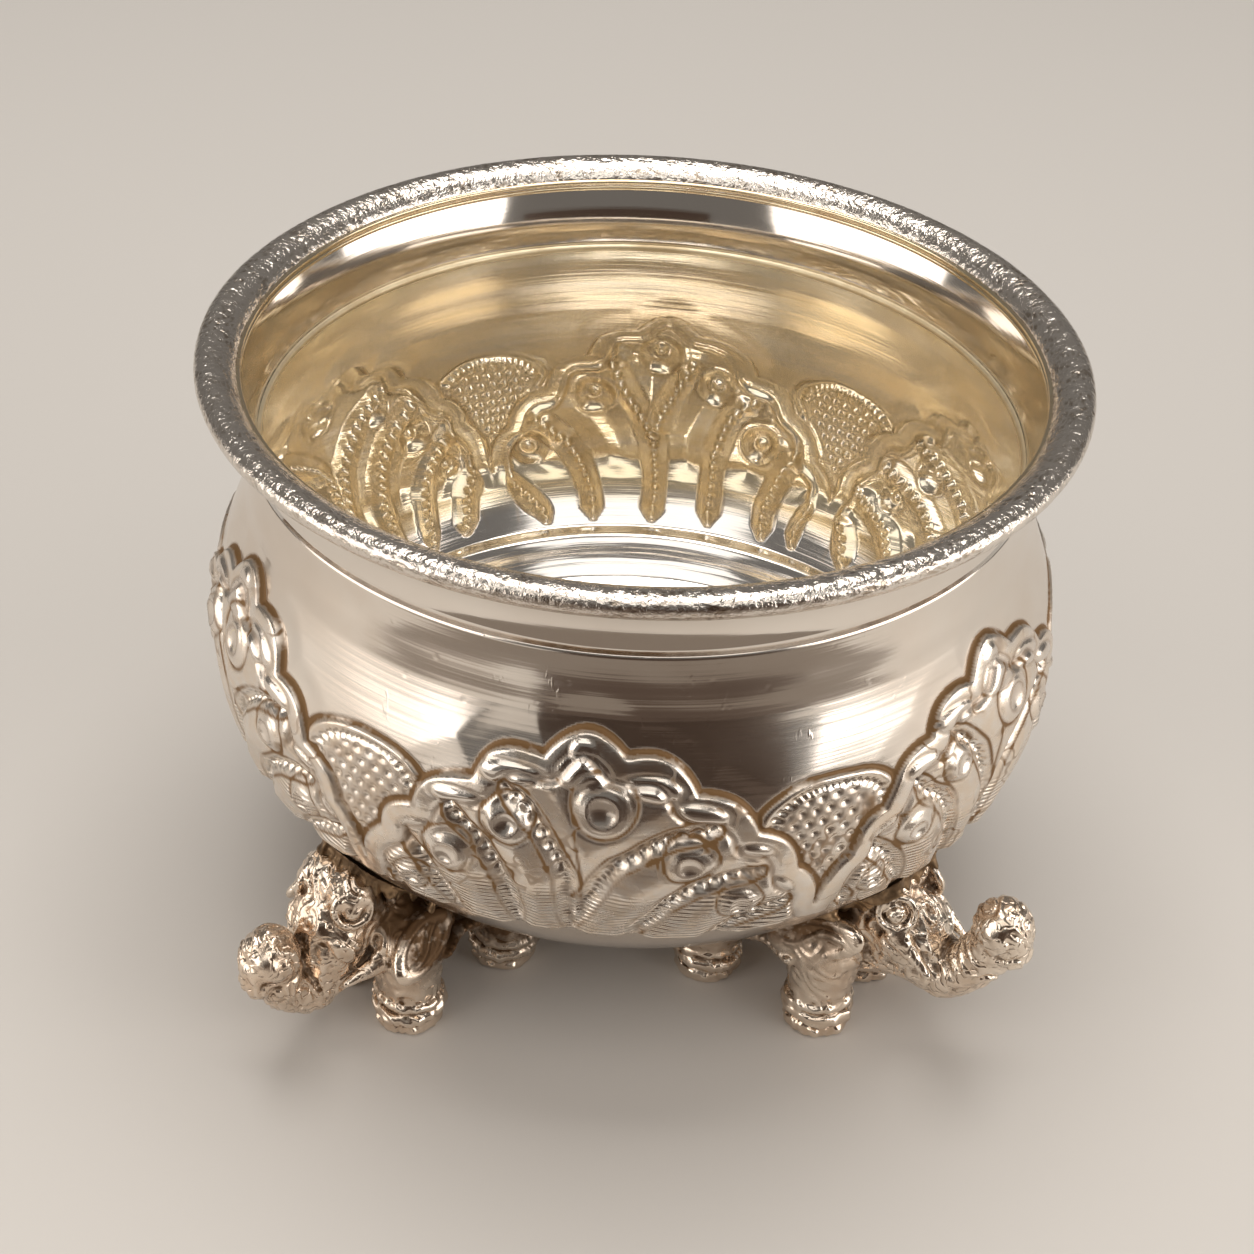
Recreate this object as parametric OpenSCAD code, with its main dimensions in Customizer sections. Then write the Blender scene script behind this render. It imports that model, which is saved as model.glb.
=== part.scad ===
// Small silver kumkum bowl carried by four cast elephants, in millimetres, on a table at z = 0

/* [Bowl] */
// Widest outer radius of the belly
belly_r = 29.8; // [27:0.1:34]
// How far the neck, where the collar is soldered on, lies inside the widest place
neck_in = 3.1; // [1.8:0.1:5.8]
// Height from the bottom of the bowl up to its widest place
belly_drop = 18.5; // [14:0.5:24]
// Height from the widest place up to the neck seam
belly_rise = 12.7; // [9:0.1:18]
// Squareness of the lower belly, where 2 is an ellipse
fullness = 2.7; // [2:0.1:3.4]
// Thickness of the sheet
wall = 0.6; // [0.4:0.05:1]

/* [Floor ring] */
// How far the ring pressed up in the floor lies inside the widest place
floor_ring_in = 6.6; // [4.8:0.1:13.8]
// Height of the ring above the floor
floor_ring_h = 0.5; // [0.2:0.05:1]
// Half width of the ring
floor_ring_w = 0.9; // [0.5:0.05:2]

/* [Raised pattern] */
// Number of palmettes round the belly
palmettes = 6; // [4:1:8]
// Turn of the first palmette from the front
palmette_turn = -4; // [-30:1:30]
// Depth below the widest place of the root that a palmette's leaves spread from
root_down = 12; // [11:0.1:14]
// Space from the solder pads up to the feet of the palmettes
palmette_gap = 0.5; // [0.3:0.1:2]
// Distance from the root out to the lowest notches of the scalloped edge
fan_r = 16.6; // [15:0.1:17]
// How much further out the edge lies at the crown
fan_peak = 3; // [1:0.1:3.4]
// How far a scallop bulges out past its notches
lobe_out = 0.8; // [0.3:0.1:1.2]
// Angle at the root from the middle of the crown to its notch
crown_half = 7; // [5:0.5:9]
// Angle of one leaf at the root
leaf_turn = 14.5; // [11:0.5:15]
// Number of leaves on either side of the crown
leaves = 4; // [2:1:4]
// How far a leaf is raised out of the belly
leaf_rise = 0.45; // [0.3:0.05:0.6]
// How far the furrows between the leaves are raised
furrow_rise = 0.1; // [0:0.05:0.25]
// How far the ribbon along the scalloped edge is raised
ribbon_rise = 0.4; // [0.3:0.05:0.6]
// Width of the ribbon
ribbon_w = 1.4; // [1:0.1:2]
// Width of the slopes beside the ribbon
ribbon_slope = 0.35; // [0.2:0.05:0.5]

/* [Bosses] */
// Radius of the ball that forms a boss
boss_ball_r = 2.1; // [1.6:0.1:3]
// How far a boss stands out of the belly
boss_rise = 0.8; // [0.5:0.05:1]
// Height of the middle boss above the widest place
boss_main_up = 2.7; // [0:0.1:5]
// Depth of the side bosses below the widest place
boss_mid_down = 0.2; // [0:0.1:2]
// Angle from the middle boss to a side boss
boss_mid_turn = 11; // [8:0.1:12]
// Depth of the low bosses below the widest place
boss_low_down = 3.9; // [3:0.1:5]
// Angle from the middle boss to a low boss
boss_low_turn = 18.4; // [16:0.1:20]
// Height of the crown bead above the widest place
crown_up = 6.2; // [5:0.1:7]

/* [Rim] */
// How far the rolled lip reaches out past the widest place
lip_over = 0.2; // [-1.8:0.1:6.2]
// Height from the neck seam up to the middle of the lip
collar_h = 5.2; // [4:0.1:8]
// Half length of the lip's oval section
lip_long = 1.55; // [1.3:0.05:2]
// Half thickness of the lip's oval section
lip_short = 1; // [0.8:0.05:1.3]
// Outward tilt of the oval section
lip_tilt = 25; // [0:1:40]
// Straight land above and below the neck seam
seam_land = 0.6; // [0.4:0.1:1.2]
// Radius of the solder bead inside the neck seam
seam_bead_r = 0.3; // [0.15:0.05:0.5]
// Radius of the wire that the lip is rolled over
lip_wire_r = 0.55; // [0.3:0.05:0.7]
// Radius of each fine gold wire under the lip
gold_wire_r = 0.2; // [0.12:0.02:0.3]
// Space between the middles of the two gold wires
gold_wire_step = 0.46; // [0.42:0.02:0.7]
// Width of the slit where the rolled edge ends
slit_w = 0.25; // [0.15:0.05:0.4]
// Clearance round a laid-in wire
wire_gap = 0.02; // [0.01:0.01:0.05]

/* [Elephants] */
// How far the middle of an elephant lies inside the widest place
stand_in = 11.2; // [9.8:0.1:13.8]
// Distance from an elephant's middle out to its seat
seat_out = 5.4; // [4:0.1:7]
// Height of the bowl's underside above the table at the seat
seat_h = 11.8; // [10:0.1:15]
// Thickness of the solder between an elephant and the bowl
solder_t = 0.3; // [0.2:0.05:0.6]
// Radius of a solder pad
pad_r = 3.4; // [2.6:0.1:4]
// Gap between a casting and its solder pad
cast_gap = 0.03; // [0.01:0.01:0.1]
// Distance from the front legs back to the rear legs
stride = 9.3; // [7.5:0.1:11]
// Distance between the left and the right legs
track = 6.8; // [6.2:0.1:9]
// Radius of a leg
leg_r = 2.5; // [1.8:0.1:2.8]
// Radius of the sole
foot_r = 2.9; // [2.4:0.1:3]
// Height of the foot under the first anklet
foot_h = 0.9; // [0.6:0.1:1.4]
// Radius of an anklet's wire
anklet_r = 0.5; // [0.3:0.05:0.7]
// Height from one anklet to the next
anklet_step = 1.5; // [1.1:0.1:2]
// Radius of the trunk of the body
body_r = 3.5; // [2.8:0.1:4]
// Height of the middle of the rump
rump_h = 5; // [4.4:0.1:6]

/* [Elephant heads] */
// Radius of the head
head_r = 3; // [2.6:0.1:4]
// Distance from an elephant's middle out to the middle of its head
head_out = 7.2; // [6:0.1:9]
// Depth of the middle of the head below the seat
head_down = 0.9; // [0.5:0.1:2.5]
// Radius of the trunk at the face
trunk_r = 2.3; // [1.8:0.1:2.8]
// Radius of the trunk before its curled tip
trunk_tip_r = 1.6; // [1.2:0.1:2]
// Radius of the curled tip
curl_r = 2.3; // [1.8:0.1:2.8]
// Distance from the head out to the curled tip
trunk_reach = 7.7; // [6:0.1:9.5]
// Height of the lowest part of the trunk's middle line above the table
trunk_low = 5.4; // [4:0.1:7]
// Height of the curled tip's middle above the table
curl_h = 11.3; // [9:0.1:14]
// Length of an ear from top to bottom
ear_l = 4.6; // [3:0.1:6]
// Width of an ear
ear_w = 3; // [2:0.1:4]
// Thickness of an ear
ear_t = 1; // [0.6:0.1:1.4]
// Length of a tusk
tusk_l = 2.6; // [1.6:0.1:3.6]
// Radius of a tusk at its root
tusk_r = 0.6; // [0.4:0.05:0.9]
// Radius of an eye
eye_r = 0.6; // [0.4:0.05:0.9]

/* [Hand-set differences] */
// Turn of the front left elephant on its seat
front_left_twist = 3; // [-15:1:20]
// Turn of the front right elephant on its seat
front_right_twist = 13; // [-15:1:20]
// Turn of both back elephants on their seats
back_twist = 8; // [-15:1:20]
// Distance that the front left elephant stands further out
front_left_slide = 1; // [-1:0.1:1.5]
// Distance that the front right elephant stands further in
front_right_slide = 1; // [-1.5:0.1:1]
// Drop of the front left elephant's curled tip
front_left_drop = 0.6; // [-1:0.1:1.5]
// Lift of the front right elephant's curled tip
front_right_lift = 1; // [-1:0.1:1.5]

/* [Hidden] */
round_fn = 96;
cast_fn = 14;
belly_steps = 26;
neck_steps = 12;
lip_steps = 36;
trunk_steps = 7;
leaf_slope = 0.3;
tuck = 0.15;
first_elephant = -45;
elephant_step = 90;
twists = [front_left_twist, front_right_twist, back_twist, back_twist];
slides = [front_left_slide, -front_right_slide, 0, 0];
lifts = [-front_left_drop, front_right_lift, 0, 0];
neck_r = belly_r - neck_in;
floor_ring_r = belly_r - floor_ring_in;
lip_r = belly_r + lip_over;
stand_r = belly_r - stand_in;
seat_r = stand_r + seat_out;
seat_share = pow(1 - pow(seat_r / belly_r, fullness), 1 / fullness);
belly_z = seat_h + belly_drop * seat_share;
neck_z = belly_z + belly_rise;
lip_z = neck_z + collar_h;
lip_half_w = sqrt(pow(lip_long * cos(lip_tilt), 2) + pow(lip_short * sin(lip_tilt), 2));
lip_mid_r = lip_r - lip_half_w;
throat_r = neck_r - wall;
gold_r = lip_mid_r - lip_long * cos(lip_tilt);
gold_z = lip_z - lip_long * sin(lip_tilt);
head_h = seat_h - head_down;
pad_top_r = min(belly_r, stand_r + max(slides) + seat_out + pad_r);
pad_top_down = belly_drop * pow(1 - pow(pad_top_r / belly_r, fullness), 1 / fullness);
palmette_down = pad_top_down - palmette_gap;

// Point of an oval half outline that bulges down, from its bottom to its widest place
function oval(a, r, drop) = [
    r * pow(sin(a), 2 / fullness),
    belly_z - drop * pow(cos(a), 2 / fullness)
];

// Direction square to the belly's lower outside
function oval_normal(p) = let (
    g = [
        pow(p[0] / belly_r, fullness - 1) / belly_r,
        -pow((belly_z - p[1]) / belly_drop, fullness - 1) / belly_drop
    ]
) g / norm(g);

// Lower outside of the belly, grown by a distance
function under(i, grow) = let (
    p = oval(90 * i / belly_steps, belly_r, belly_drop)
) p + grow * oval_normal(p);

// Outer radius of the shoulder between the widest place and the neck
function shoulder_r(z) = let (
    top = neck_z - seam_land,
    u = min(1, (z - belly_z) / (top - belly_z))
) neck_r + (belly_r - neck_r) * (1 + cos(180 * u)) / 2;

// Radius of the belly's outside at a height
function outside_r(z) = z > belly_z
    ? shoulder_r(z)
    : belly_r * pow(1 - pow((belly_z - z) / belly_drop, fullness), 1 / fullness);

// Height added by the ring pressed up in the floor
function floor_ring(r) = abs(r - floor_ring_r) < floor_ring_w
    ? floor_ring_h * (1 + cos(180 * (r - floor_ring_r) / floor_ring_w)) / 2
    : 0;

// Point of the lower inside, with the ring pressed up in the floor
function inside_point(i, n) = let (
    p = oval(90 * i / n, belly_r - wall, belly_drop - wall)
) p + [0, floor_ring(p[0])];

outside_line = concat(
    [for (i = [0:belly_steps]) under(i, 0)],
    [for (i = [1:neck_steps])
        let (z = belly_z + (neck_z - seam_land - belly_z) * i / neck_steps) [shoulder_r(z), z]],
    [[neck_r, neck_z]]
);

inside_line = concat(
    [for (i = [0:3 * belly_steps]) inside_point(i, 3 * belly_steps)],
    [for (i = [1:neck_steps])
        let (z = belly_z + (neck_z - seam_land - belly_z) * i / neck_steps) [shoulder_r(z) - wall, z]],
    [[throat_r, neck_z]]
);

function reversed(line) = [for (i = [len(line) - 1:-1:0]) line[i]];

// Angles of the lines that a palmette's leaves are drawn on, and which of them lie on a leaf
edge_turn = crown_half + leaves * leaf_turn;
right_lines = concat(
    [[crown_half * (1 - leaf_slope), true]],
    [for (i = [0:leaves - 1], part = [0, leaf_slope, 1 - leaf_slope])
        [crown_half + (i + part) * leaf_turn, part > 0]],
    [[edge_turn, false]]
);
leaf_lines = concat(
    [for (line = reversed(right_lines)) [-line[0], line[1]]],
    [[0, true]],
    right_lines
);

// Distance from the root out to the scalloped edge on one line
function edge_at(line) = fan_r
    + fan_peak * pow(1 - abs(line[0]) / edge_turn, 3)
    + (line[1] ? lobe_out : 0);

// Distances from the root along one line and how far the sheet is raised there
function line_rows(line) = let (
    rise = line[1] ? leaf_rise : furrow_rise,
    edge = edge_at(line),
    inner = edge - ribbon_w - ribbon_slope,
    foot = min((root_down - palmette_down) / cos(line[0]), inner - ribbon_w),
    leaf = inner - foot,
    rows = [
        [foot, -tuck],
        [foot + leaf * 0.12, rise * 0.8],
        [foot + leaf * 0.55, rise],
        [foot + leaf * 0.88, rise],
        [inner, furrow_rise],
        [edge - ribbon_w, ribbon_rise],
        [edge - ribbon_slope, ribbon_rise],
        [edge, -tuck]
    ]
) abs(line[0]) < edge_turn ? rows : [for (row = rows) [row[0], -tuck]];

// Point of the belly's outside, moved out, at a distance from a palmette's root along one line
function on_belly(turn, distance, out) = let (
    z = belly_z - root_down + distance * cos(turn),
    a = distance * sin(turn) / belly_r * 180 / PI,
    r = outside_r(z) + out
) [r * sin(a), -r * cos(a), z];

// Palmette with its leaves and ribbon as a wedge that runs in to the bowl's axis
module palmette_wedge(shift) {
    rows = len(line_rows(leaf_lines[0]));
    n = len(leaf_lines);
    points = [for (line = leaf_lines, row = line_rows(line)) on_belly(line[0], row[0], row[1] + shift)];
    rim = concat(
        [for (i = [0:n - 1]) i * rows],
        [for (j = [1:rows - 1]) (n - 1) * rows + j],
        [for (i = [n - 2:-1:0]) i * rows + rows - 1],
        [for (j = [rows - 2:-1:1]) j]
    );
    polyhedron(
        points = concat(points, [[0, 0, belly_z]]),
        faces = concat(
            [for (i = [0:n - 2], j = [0:rows - 2]) [i * rows + j, i * rows + j + 1, (i + 1) * rows + j]],
            [for (i = [0:n - 2], j = [0:rows - 2])
                [i * rows + j + 1, (i + 1) * rows + j + 1, (i + 1) * rows + j]],
            [for (k = [0:len(rim) - 1]) [rim[k], rim[(k + 1) % len(rim)], n * rows]]
        )
    );
}

// Ball sunk in the belly so that its cap stands out as a boss
module boss(turn, up, r) {
    rotate([0, 0, turn - 90])
        translate([outside_r(belly_z + up) + boss_rise - boss_ball_r, 0, belly_z + up])
            sphere(r = r, $fn = 32);
}

// Palmettes and bosses, as they stand out outside or one sheet thickness in as their hollows
module raised_pattern(shift) {
    for (k = [0:palmettes - 1]) {
        turn = palmette_turn + k * 360 / palmettes;
        rotate([0, 0, turn])
            palmette_wedge(shift);
        boss(turn, boss_main_up, boss_ball_r + shift);
        boss(turn, crown_up, boss_ball_r + shift);
        for (side = [-1, 1]) {
            boss(turn + side * boss_mid_turn, -boss_mid_down, boss_ball_r + shift);
            boss(turn + side * boss_low_turn, -boss_low_down, boss_ball_r + shift);
        }
    }
}

module bowl_body() {
    color([0.78, 0.76, 0.73])
        difference() {
            union() {
                rotate_extrude($fn = round_fn)
                    polygon(concat(outside_line, [[0, neck_z]]));
                raised_pattern(0);
            }
            rotate_extrude($fn = round_fn)
                polygon(concat(inside_line, [[throat_r, neck_z + wall], [0, neck_z + wall]]));
            raised_pattern(-wall);
        }
}

// Oval section of the lip
function lip_point(t) = [
    lip_mid_r + lip_long * cos(t) * cos(lip_tilt) - lip_short * sin(t) * sin(lip_tilt),
    lip_z + lip_long * cos(t) * sin(lip_tilt) + lip_short * sin(t) * cos(lip_tilt)
];

// Inner face of the neck, from the land above the seam out to the gold wires
neck_low = neck_z + seam_land;
neck_flare = gold_r - throat_r;
neck_tall = gold_z - neck_low;

function neck_inside(u) = [throat_r + neck_flare * (1 - cos(90 * u)), neck_low + neck_tall * u];

// Outer face of the neck, one sheet thickness out from the inner face
function neck_outside(u) = let (
    along = [neck_flare * PI / 2 * sin(90 * u), neck_tall]
) neck_inside(u) + wall * [along[1], -along[0]] / norm(along);

neck_line = concat(
    [[neck_r, neck_z]],
    [for (i = [0:neck_steps]) neck_outside(i / neck_steps)],
    [[lip_mid_r - slit_w, lip_z]],
    [for (i = [neck_steps:-1:0]) neck_inside(i / neck_steps)],
    [[throat_r, neck_z]]
);

// Groove or wire that lies in the collar's inner face
module gold_ring(up, r) {
    rotate_extrude($fn = round_fn)
        translate([gold_r, gold_z + up])
            circle(r = r, $fn = 24);
}

module rim_collar() {
    color([0.82, 0.81, 0.79])
        difference() {
            rotate_extrude($fn = round_fn)
                union() {
                    polygon(neck_line);
                    polygon([for (i = [0:lip_steps - 1]) lip_point(360 * i / lip_steps)]);
                }
            rotate_extrude($fn = round_fn)
                translate([lip_mid_r, lip_z])
                    circle(r = lip_wire_r + wire_gap, $fn = 32);
            rotate_extrude($fn = round_fn)
                translate([lip_mid_r - slit_w / 2 + lip_wire_r / 2, lip_z - lip_long - lip_short])
                    square([slit_w, lip_long + lip_short]);
            gold_ring(0, gold_wire_r + wire_gap);
            gold_ring(gold_wire_step, gold_wire_r + wire_gap);
        }
}

module lip_wire() {
    color([0.7, 0.68, 0.65])
        rotate_extrude($fn = round_fn)
            translate([lip_mid_r, lip_z])
                circle(r = lip_wire_r, $fn = 32);
}

module gold_wire_lower() {
    color([0.85, 0.66, 0.3])
        gold_ring(0, gold_wire_r);
}

module gold_wire_upper() {
    color([0.85, 0.66, 0.3])
        gold_ring(gold_wire_step, gold_wire_r);
}

// Half-round bead of solder along the inside of the neck seam
module seam_solder() {
    color([0.8, 0.72, 0.5])
        rotate_extrude($fn = round_fn)
            translate([throat_r, neck_z])
                polygon([for (i = [0:12]) seam_bead_r * [-sin(15 * i), cos(15 * i)]]);
}

module at_seat(k) {
    rotate([0, 0, first_elephant + k * elephant_step - 90])
        translate([stand_r + slides[k], 0, 0])
            rotate([0, 0, twists[k]])
                children();
}

module leg(x, y, h) {
    translate([x, y, 0]) {
        cylinder(h = foot_h, r = foot_r, $fn = cast_fn);
        cylinder(h = h, r = leg_r, $fn = cast_fn);
        for (i = [0, 1])
            translate([0, 0, foot_h + anklet_r + i * anklet_step])
                rotate_extrude($fn = cast_fn)
                    translate([leg_r, 0])
                        circle(r = anklet_r, $fn = 8);
    }
}

module ball(p, r) {
    translate(p)
        sphere(r = r, $fn = cast_fn);
}

module small_ball(p, r) {
    translate(p)
        sphere(r = r, $fn = 12);
}

// Middle line of the trunk, a curve from the face down, out and up to the curled tip
function trunk_start() = [head_out + head_r / 2, 0, head_h - head_r / 4];

function trunk_end(lift) = [head_out + trunk_reach, 0, curl_h + lift];

function handle_h(lift) = (8 * (trunk_low + lift / 2) - trunk_start()[2] - curl_h - lift) / 6;

function trunk_point(t, lift) = pow(1 - t, 3) * trunk_start()
    + 3 * t * pow(1 - t, 2) * [trunk_start()[0] + head_r / 3, 0, handle_h(lift)]
    + 3 * t * t * (1 - t) * [trunk_end(lift)[0] + curl_r / 2, 0, handle_h(lift)]
    + pow(t, 3) * trunk_end(lift);

function trunk_thickness(t) = t > 0.75
    ? trunk_tip_r + (curl_r - trunk_tip_r) * (t - 0.75) * 4
    : trunk_r + (trunk_tip_r - trunk_r) * t / 0.75;

module trunk_ball(i, lift) {
    small_ball(trunk_point(i / trunk_steps, lift), trunk_thickness(i / trunk_steps));
}

module trunk(lift) {
    for (i = [0:trunk_steps - 1])
        hull() {
            trunk_ball(i, lift);
            trunk_ball(i + 1, lift);
        }
    hull() {
        small_ball(trunk_end(lift), curl_r);
        small_ball(trunk_end(lift) + [curl_r / 3, 0, -curl_r / 2], curl_r * 0.9);
    }
}

module ear(side) {
    top = [head_out - head_r * 0.55, side * head_r * 0.8, head_h + ear_l * 0.15];
    hull() {
        small_ball(top, ear_t / 2);
        small_ball(top + [-ear_w, side * ear_t, -ear_l * 0.35], ear_t / 2);
        small_ball(top + [-ear_w * 0.55, side * ear_t, -ear_l], ear_t / 2);
        small_ball(top + [ear_w * 0.1, side * ear_t * 0.6, -ear_l * 0.7], ear_t / 2);
    }
}

module tusk(side) {
    root = [head_out + head_r * 0.6, side * trunk_r * 0.75, head_h - head_r * 0.85];
    hull() {
        small_ball(root, tusk_r);
        small_ball(root + tusk_l * [0.8, side * 0.35, -0.45], tusk_r / 2);
    }
}

module elephant_form(lift) {
    front = stride / 2;
    rear = -stride / 2;
    shoulder_h = seat_h - body_r * 0.95;
    hull() {
        ball([rear, 0, rump_h], body_r * 0.9);
        ball([front, 0, shoulder_h], body_r);
    }
    hull() {
        ball([front, 0, shoulder_h], body_r);
        ball([head_out, 0, head_h], head_r);
    }
    for (side = [-1, 1]) {
        leg(front, side * track / 2, shoulder_h);
        leg(rear, side * track / 2, rump_h);
        hull() {
            ball([front, side * track / 2, shoulder_h - body_r * 0.3], leg_r);
            ball([front, 0, shoulder_h], body_r * 0.8);
        }
        hull() {
            ball([rear, side * track / 2, rump_h - body_r * 0.2], leg_r);
            ball([rear, 0, rump_h], body_r * 0.8);
        }
        ear(side);
        tusk(side);
        small_ball([head_out + head_r * 0.45, side * head_r * 0.82, head_h + head_r * 0.2], eye_r);
    }
    trunk(lift);
}

module elephant(k) {
    color([0.72, 0.55, 0.45])
        difference() {
            at_seat(k)
                elephant_form(lifts[k]);
            rotate_extrude($fn = round_fn)
                polygon(concat(
                    [for (i = [0:belly_steps]) under(i, solder_t + cast_gap)],
                    [[0, belly_z]]
                ));
        }
}

// Patch of solder that follows the bowl's outside over one seat
module solder_pad(k) {
    color([0.45, 0.33, 0.22])
        intersection() {
            rotate_extrude($fn = round_fn)
                polygon(concat(
                    [for (i = [0:belly_steps]) under(i, 0)],
                    reversed([for (i = [0:belly_steps]) under(i, solder_t)])
                ));
            at_seat(k)
                translate([seat_out, 0, 0])
                    cylinder(h = belly_z, r = pad_r, $fn = 48);
        }
}

module elephant_front_left() {
    elephant(0);
}

module elephant_front_right() {
    elephant(1);
}

module elephant_back_right() {
    elephant(2);
}

module elephant_back_left() {
    elephant(3);
}

module solder_front_left() {
    solder_pad(0);
}

module solder_front_right() {
    solder_pad(1);
}

module solder_back_right() {
    solder_pad(2);
}

module solder_back_left() {
    solder_pad(3);
}

bowl_body();
rim_collar();
lip_wire();
gold_wire_lower();
gold_wire_upper();
seam_solder();
elephant_front_left();
elephant_front_right();
elephant_back_right();
elephant_back_left();
solder_front_left();
solder_front_right();
solder_back_right();
solder_back_left();
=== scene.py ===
import math

import bpy
import numpy as np
import openvdb
from mathutils import Matrix


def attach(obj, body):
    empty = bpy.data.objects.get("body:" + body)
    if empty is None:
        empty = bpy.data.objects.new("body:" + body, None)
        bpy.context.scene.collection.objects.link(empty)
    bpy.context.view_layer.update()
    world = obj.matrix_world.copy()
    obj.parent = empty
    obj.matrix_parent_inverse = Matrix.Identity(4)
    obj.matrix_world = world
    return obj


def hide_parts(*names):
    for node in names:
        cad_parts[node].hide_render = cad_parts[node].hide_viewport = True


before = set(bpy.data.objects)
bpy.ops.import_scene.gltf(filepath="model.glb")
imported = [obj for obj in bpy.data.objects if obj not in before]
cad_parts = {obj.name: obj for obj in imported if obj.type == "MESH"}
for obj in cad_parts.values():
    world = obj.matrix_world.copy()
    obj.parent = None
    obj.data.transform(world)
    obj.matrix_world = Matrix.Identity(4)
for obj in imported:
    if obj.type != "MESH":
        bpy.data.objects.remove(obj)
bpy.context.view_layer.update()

MM = 0.001

# Sizes in millimetres, the same as the solids have
BELLY_R = 29.8
NECK_R = 26.7
BELLY_DROP = 18.5
BELLY_RISE = 12.7
FULLNESS = 2.7
WALL = 0.6
SEAM_LAND = 0.6
SEAT_R = 24.0
SEAT_H = 11.8
FLOOR_RING_R = 23.2
LIP_R = 30.0
COLLAR_H = 5.2
LIP_LONG = 1.55
LIP_SHORT = 1.0
LIP_TILT = math.radians(25)
STAND_R = 18.6
BELLY_Z = SEAT_H + BELLY_DROP * (1 - (SEAT_R / BELLY_R) ** FULLNESS) ** (1 / FULLNESS)
NECK_Z = BELLY_Z + BELLY_RISE
LIP_Z = NECK_Z + COLLAR_H
LIP_MID_R = LIP_R - math.hypot(LIP_LONG * math.cos(LIP_TILT), LIP_SHORT * math.sin(LIP_TILT))
GOLD_R = LIP_MID_R - LIP_LONG * math.cos(LIP_TILT)
GOLD_Z = LIP_Z - LIP_LONG * math.sin(LIP_TILT)
THROAT_R = NECK_R - WALL

# Points round the bowl, and the palmettes' place on it
COLUMNS = 1200
MM_PER_DEGREE = 0.513
PALMETTES = 6
PALMETTE_AXIS = -4.0
PALMETTE_STEP = 60.0
# How much lower the pattern lies at the back, how far each palmette and each line strays, and how deep the
# ground of the pattern is sunk
BACK_LOWER = 1.3
PALMETTE_STRAY = 0.12
LINE_STRAY = 0.16
SUNK = 0.2
# Inside: how much more the form and the marks show, and how much thicker the worked sheet is
INSIDE_FORM = 1.3
INSIDE_MARKS = 1.9
WORKED_WALL = 0.2


# ---------------------------------------------------------------- meshes

def mesh_object(name, points, face_groups, attributes=None, slots=None):
    """Object from points in millimetres and arrays of faces, each array with one number of corners."""
    mesh = bpy.data.meshes.new(name)
    mesh.vertices.add(len(points))
    mesh.vertices.foreach_set("co", np.ascontiguousarray(points * MM, np.float32).ravel())
    corners = np.concatenate([f.ravel() for f in face_groups]).astype(np.int32)
    sizes = np.concatenate([np.full(len(f), f.shape[1]) for f in face_groups])
    starts = np.concatenate([[0], np.cumsum(sizes)[:-1]]).astype(np.int32)
    mesh.loops.add(len(corners))
    mesh.loops.foreach_set("vertex_index", corners)
    mesh.polygons.add(len(sizes))
    mesh.polygons.foreach_set("loop_start", starts)
    if slots is not None:
        mesh.polygons.foreach_set("material_index", np.concatenate(slots).astype(np.int32))
    mesh.update(calc_edges=True)
    mesh.shade_smooth()
    for key, values in (attributes or {}).items():
        layer = mesh.attributes.new(key, "FLOAT", "POINT")
        layer.data.foreach_set("value", np.ascontiguousarray(values, np.float32).ravel())
    piece = bpy.data.objects.new(name, mesh)
    bpy.context.scene.collection.objects.link(piece)
    return piece


def ring_faces(rows, columns, closed):
    """Quads of a grid of rings; closed joins the last ring to the first."""
    row = np.arange(rows if closed else rows - 1)
    i = row[:, None]
    j = np.arange(columns)[None, :]
    below = (i + 1) % rows
    beside = (j + 1) % columns
    return np.stack([i * columns + j, below * columns + j, below * columns + beside, i * columns + beside],
                    axis=-1).reshape(-1, 4)


def turned(r, z, phi):
    """Points at radius r and height z, at angles measured from the front to the right."""
    return np.stack([r * np.sin(phi), -r * np.cos(phi), np.broadcast_to(z, r.shape)], axis=-1)


def smooth_step(low, high, v):
    t = np.clip((v - low) / (high - low), 0, 1)
    return t * t * (3 - 2 * t)


def hump(v, half):
    """Smooth hump of height 1 and a half width, 0 outside it."""
    q = np.clip(1 - (v / half) ** 2, 0, 1)
    return q * q


def dome(q):
    """Round dome of height 1 over q below 1."""
    return np.sqrt(np.clip(1 - q * q, 0, 1))


def waves(seed, count, shortest, longest, *axes):
    """Uneven surface from seeded waves, between about -1 and 1."""
    rng = np.random.default_rng(seed)
    total = 0
    for _ in range(count):
        direction = rng.normal(size=len(axes))
        direction *= 2 * np.pi / rng.uniform(shortest, longest) / np.linalg.norm(direction)
        phase = rng.uniform(0, 2 * np.pi)
        total = total + np.sin(sum(d * a for d, a in zip(direction, axes)) + phase)
    return total / math.sqrt(2 * count)


# ---------------------------------------------------------------- bowl profile

def outside_profile():
    """Outside of the bowl from its bottom up: arc length from the widest place, radius, height, normal."""
    a = np.linspace(0, np.pi / 2, 1600)
    z_up = np.linspace(BELLY_Z, NECK_Z, 500)[1:]
    u = np.clip((z_up - BELLY_Z) / (BELLY_RISE - SEAM_LAND), 0, 1)
    r = np.concatenate([BELLY_R * np.sin(a) ** (2 / FULLNESS),
                        NECK_R + (BELLY_R - NECK_R) * (1 + np.cos(np.pi * u)) / 2])
    z = np.concatenate([BELLY_Z - BELLY_DROP * np.cos(a) ** (2 / FULLNESS), z_up])
    s = np.concatenate([[0], np.cumsum(np.hypot(np.diff(r), np.diff(z)))])
    tangent_r = np.gradient(r, s)
    tangent_z = np.gradient(z, s)
    long = np.hypot(tangent_r, tangent_z)
    return s - s[1599], r, z, tangent_z / long, -tangent_r / long


PROFILE = outside_profile()


def profile_at(s):
    return [np.interp(s, PROFILE[0], column) for column in PROFILE[1:]]


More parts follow.
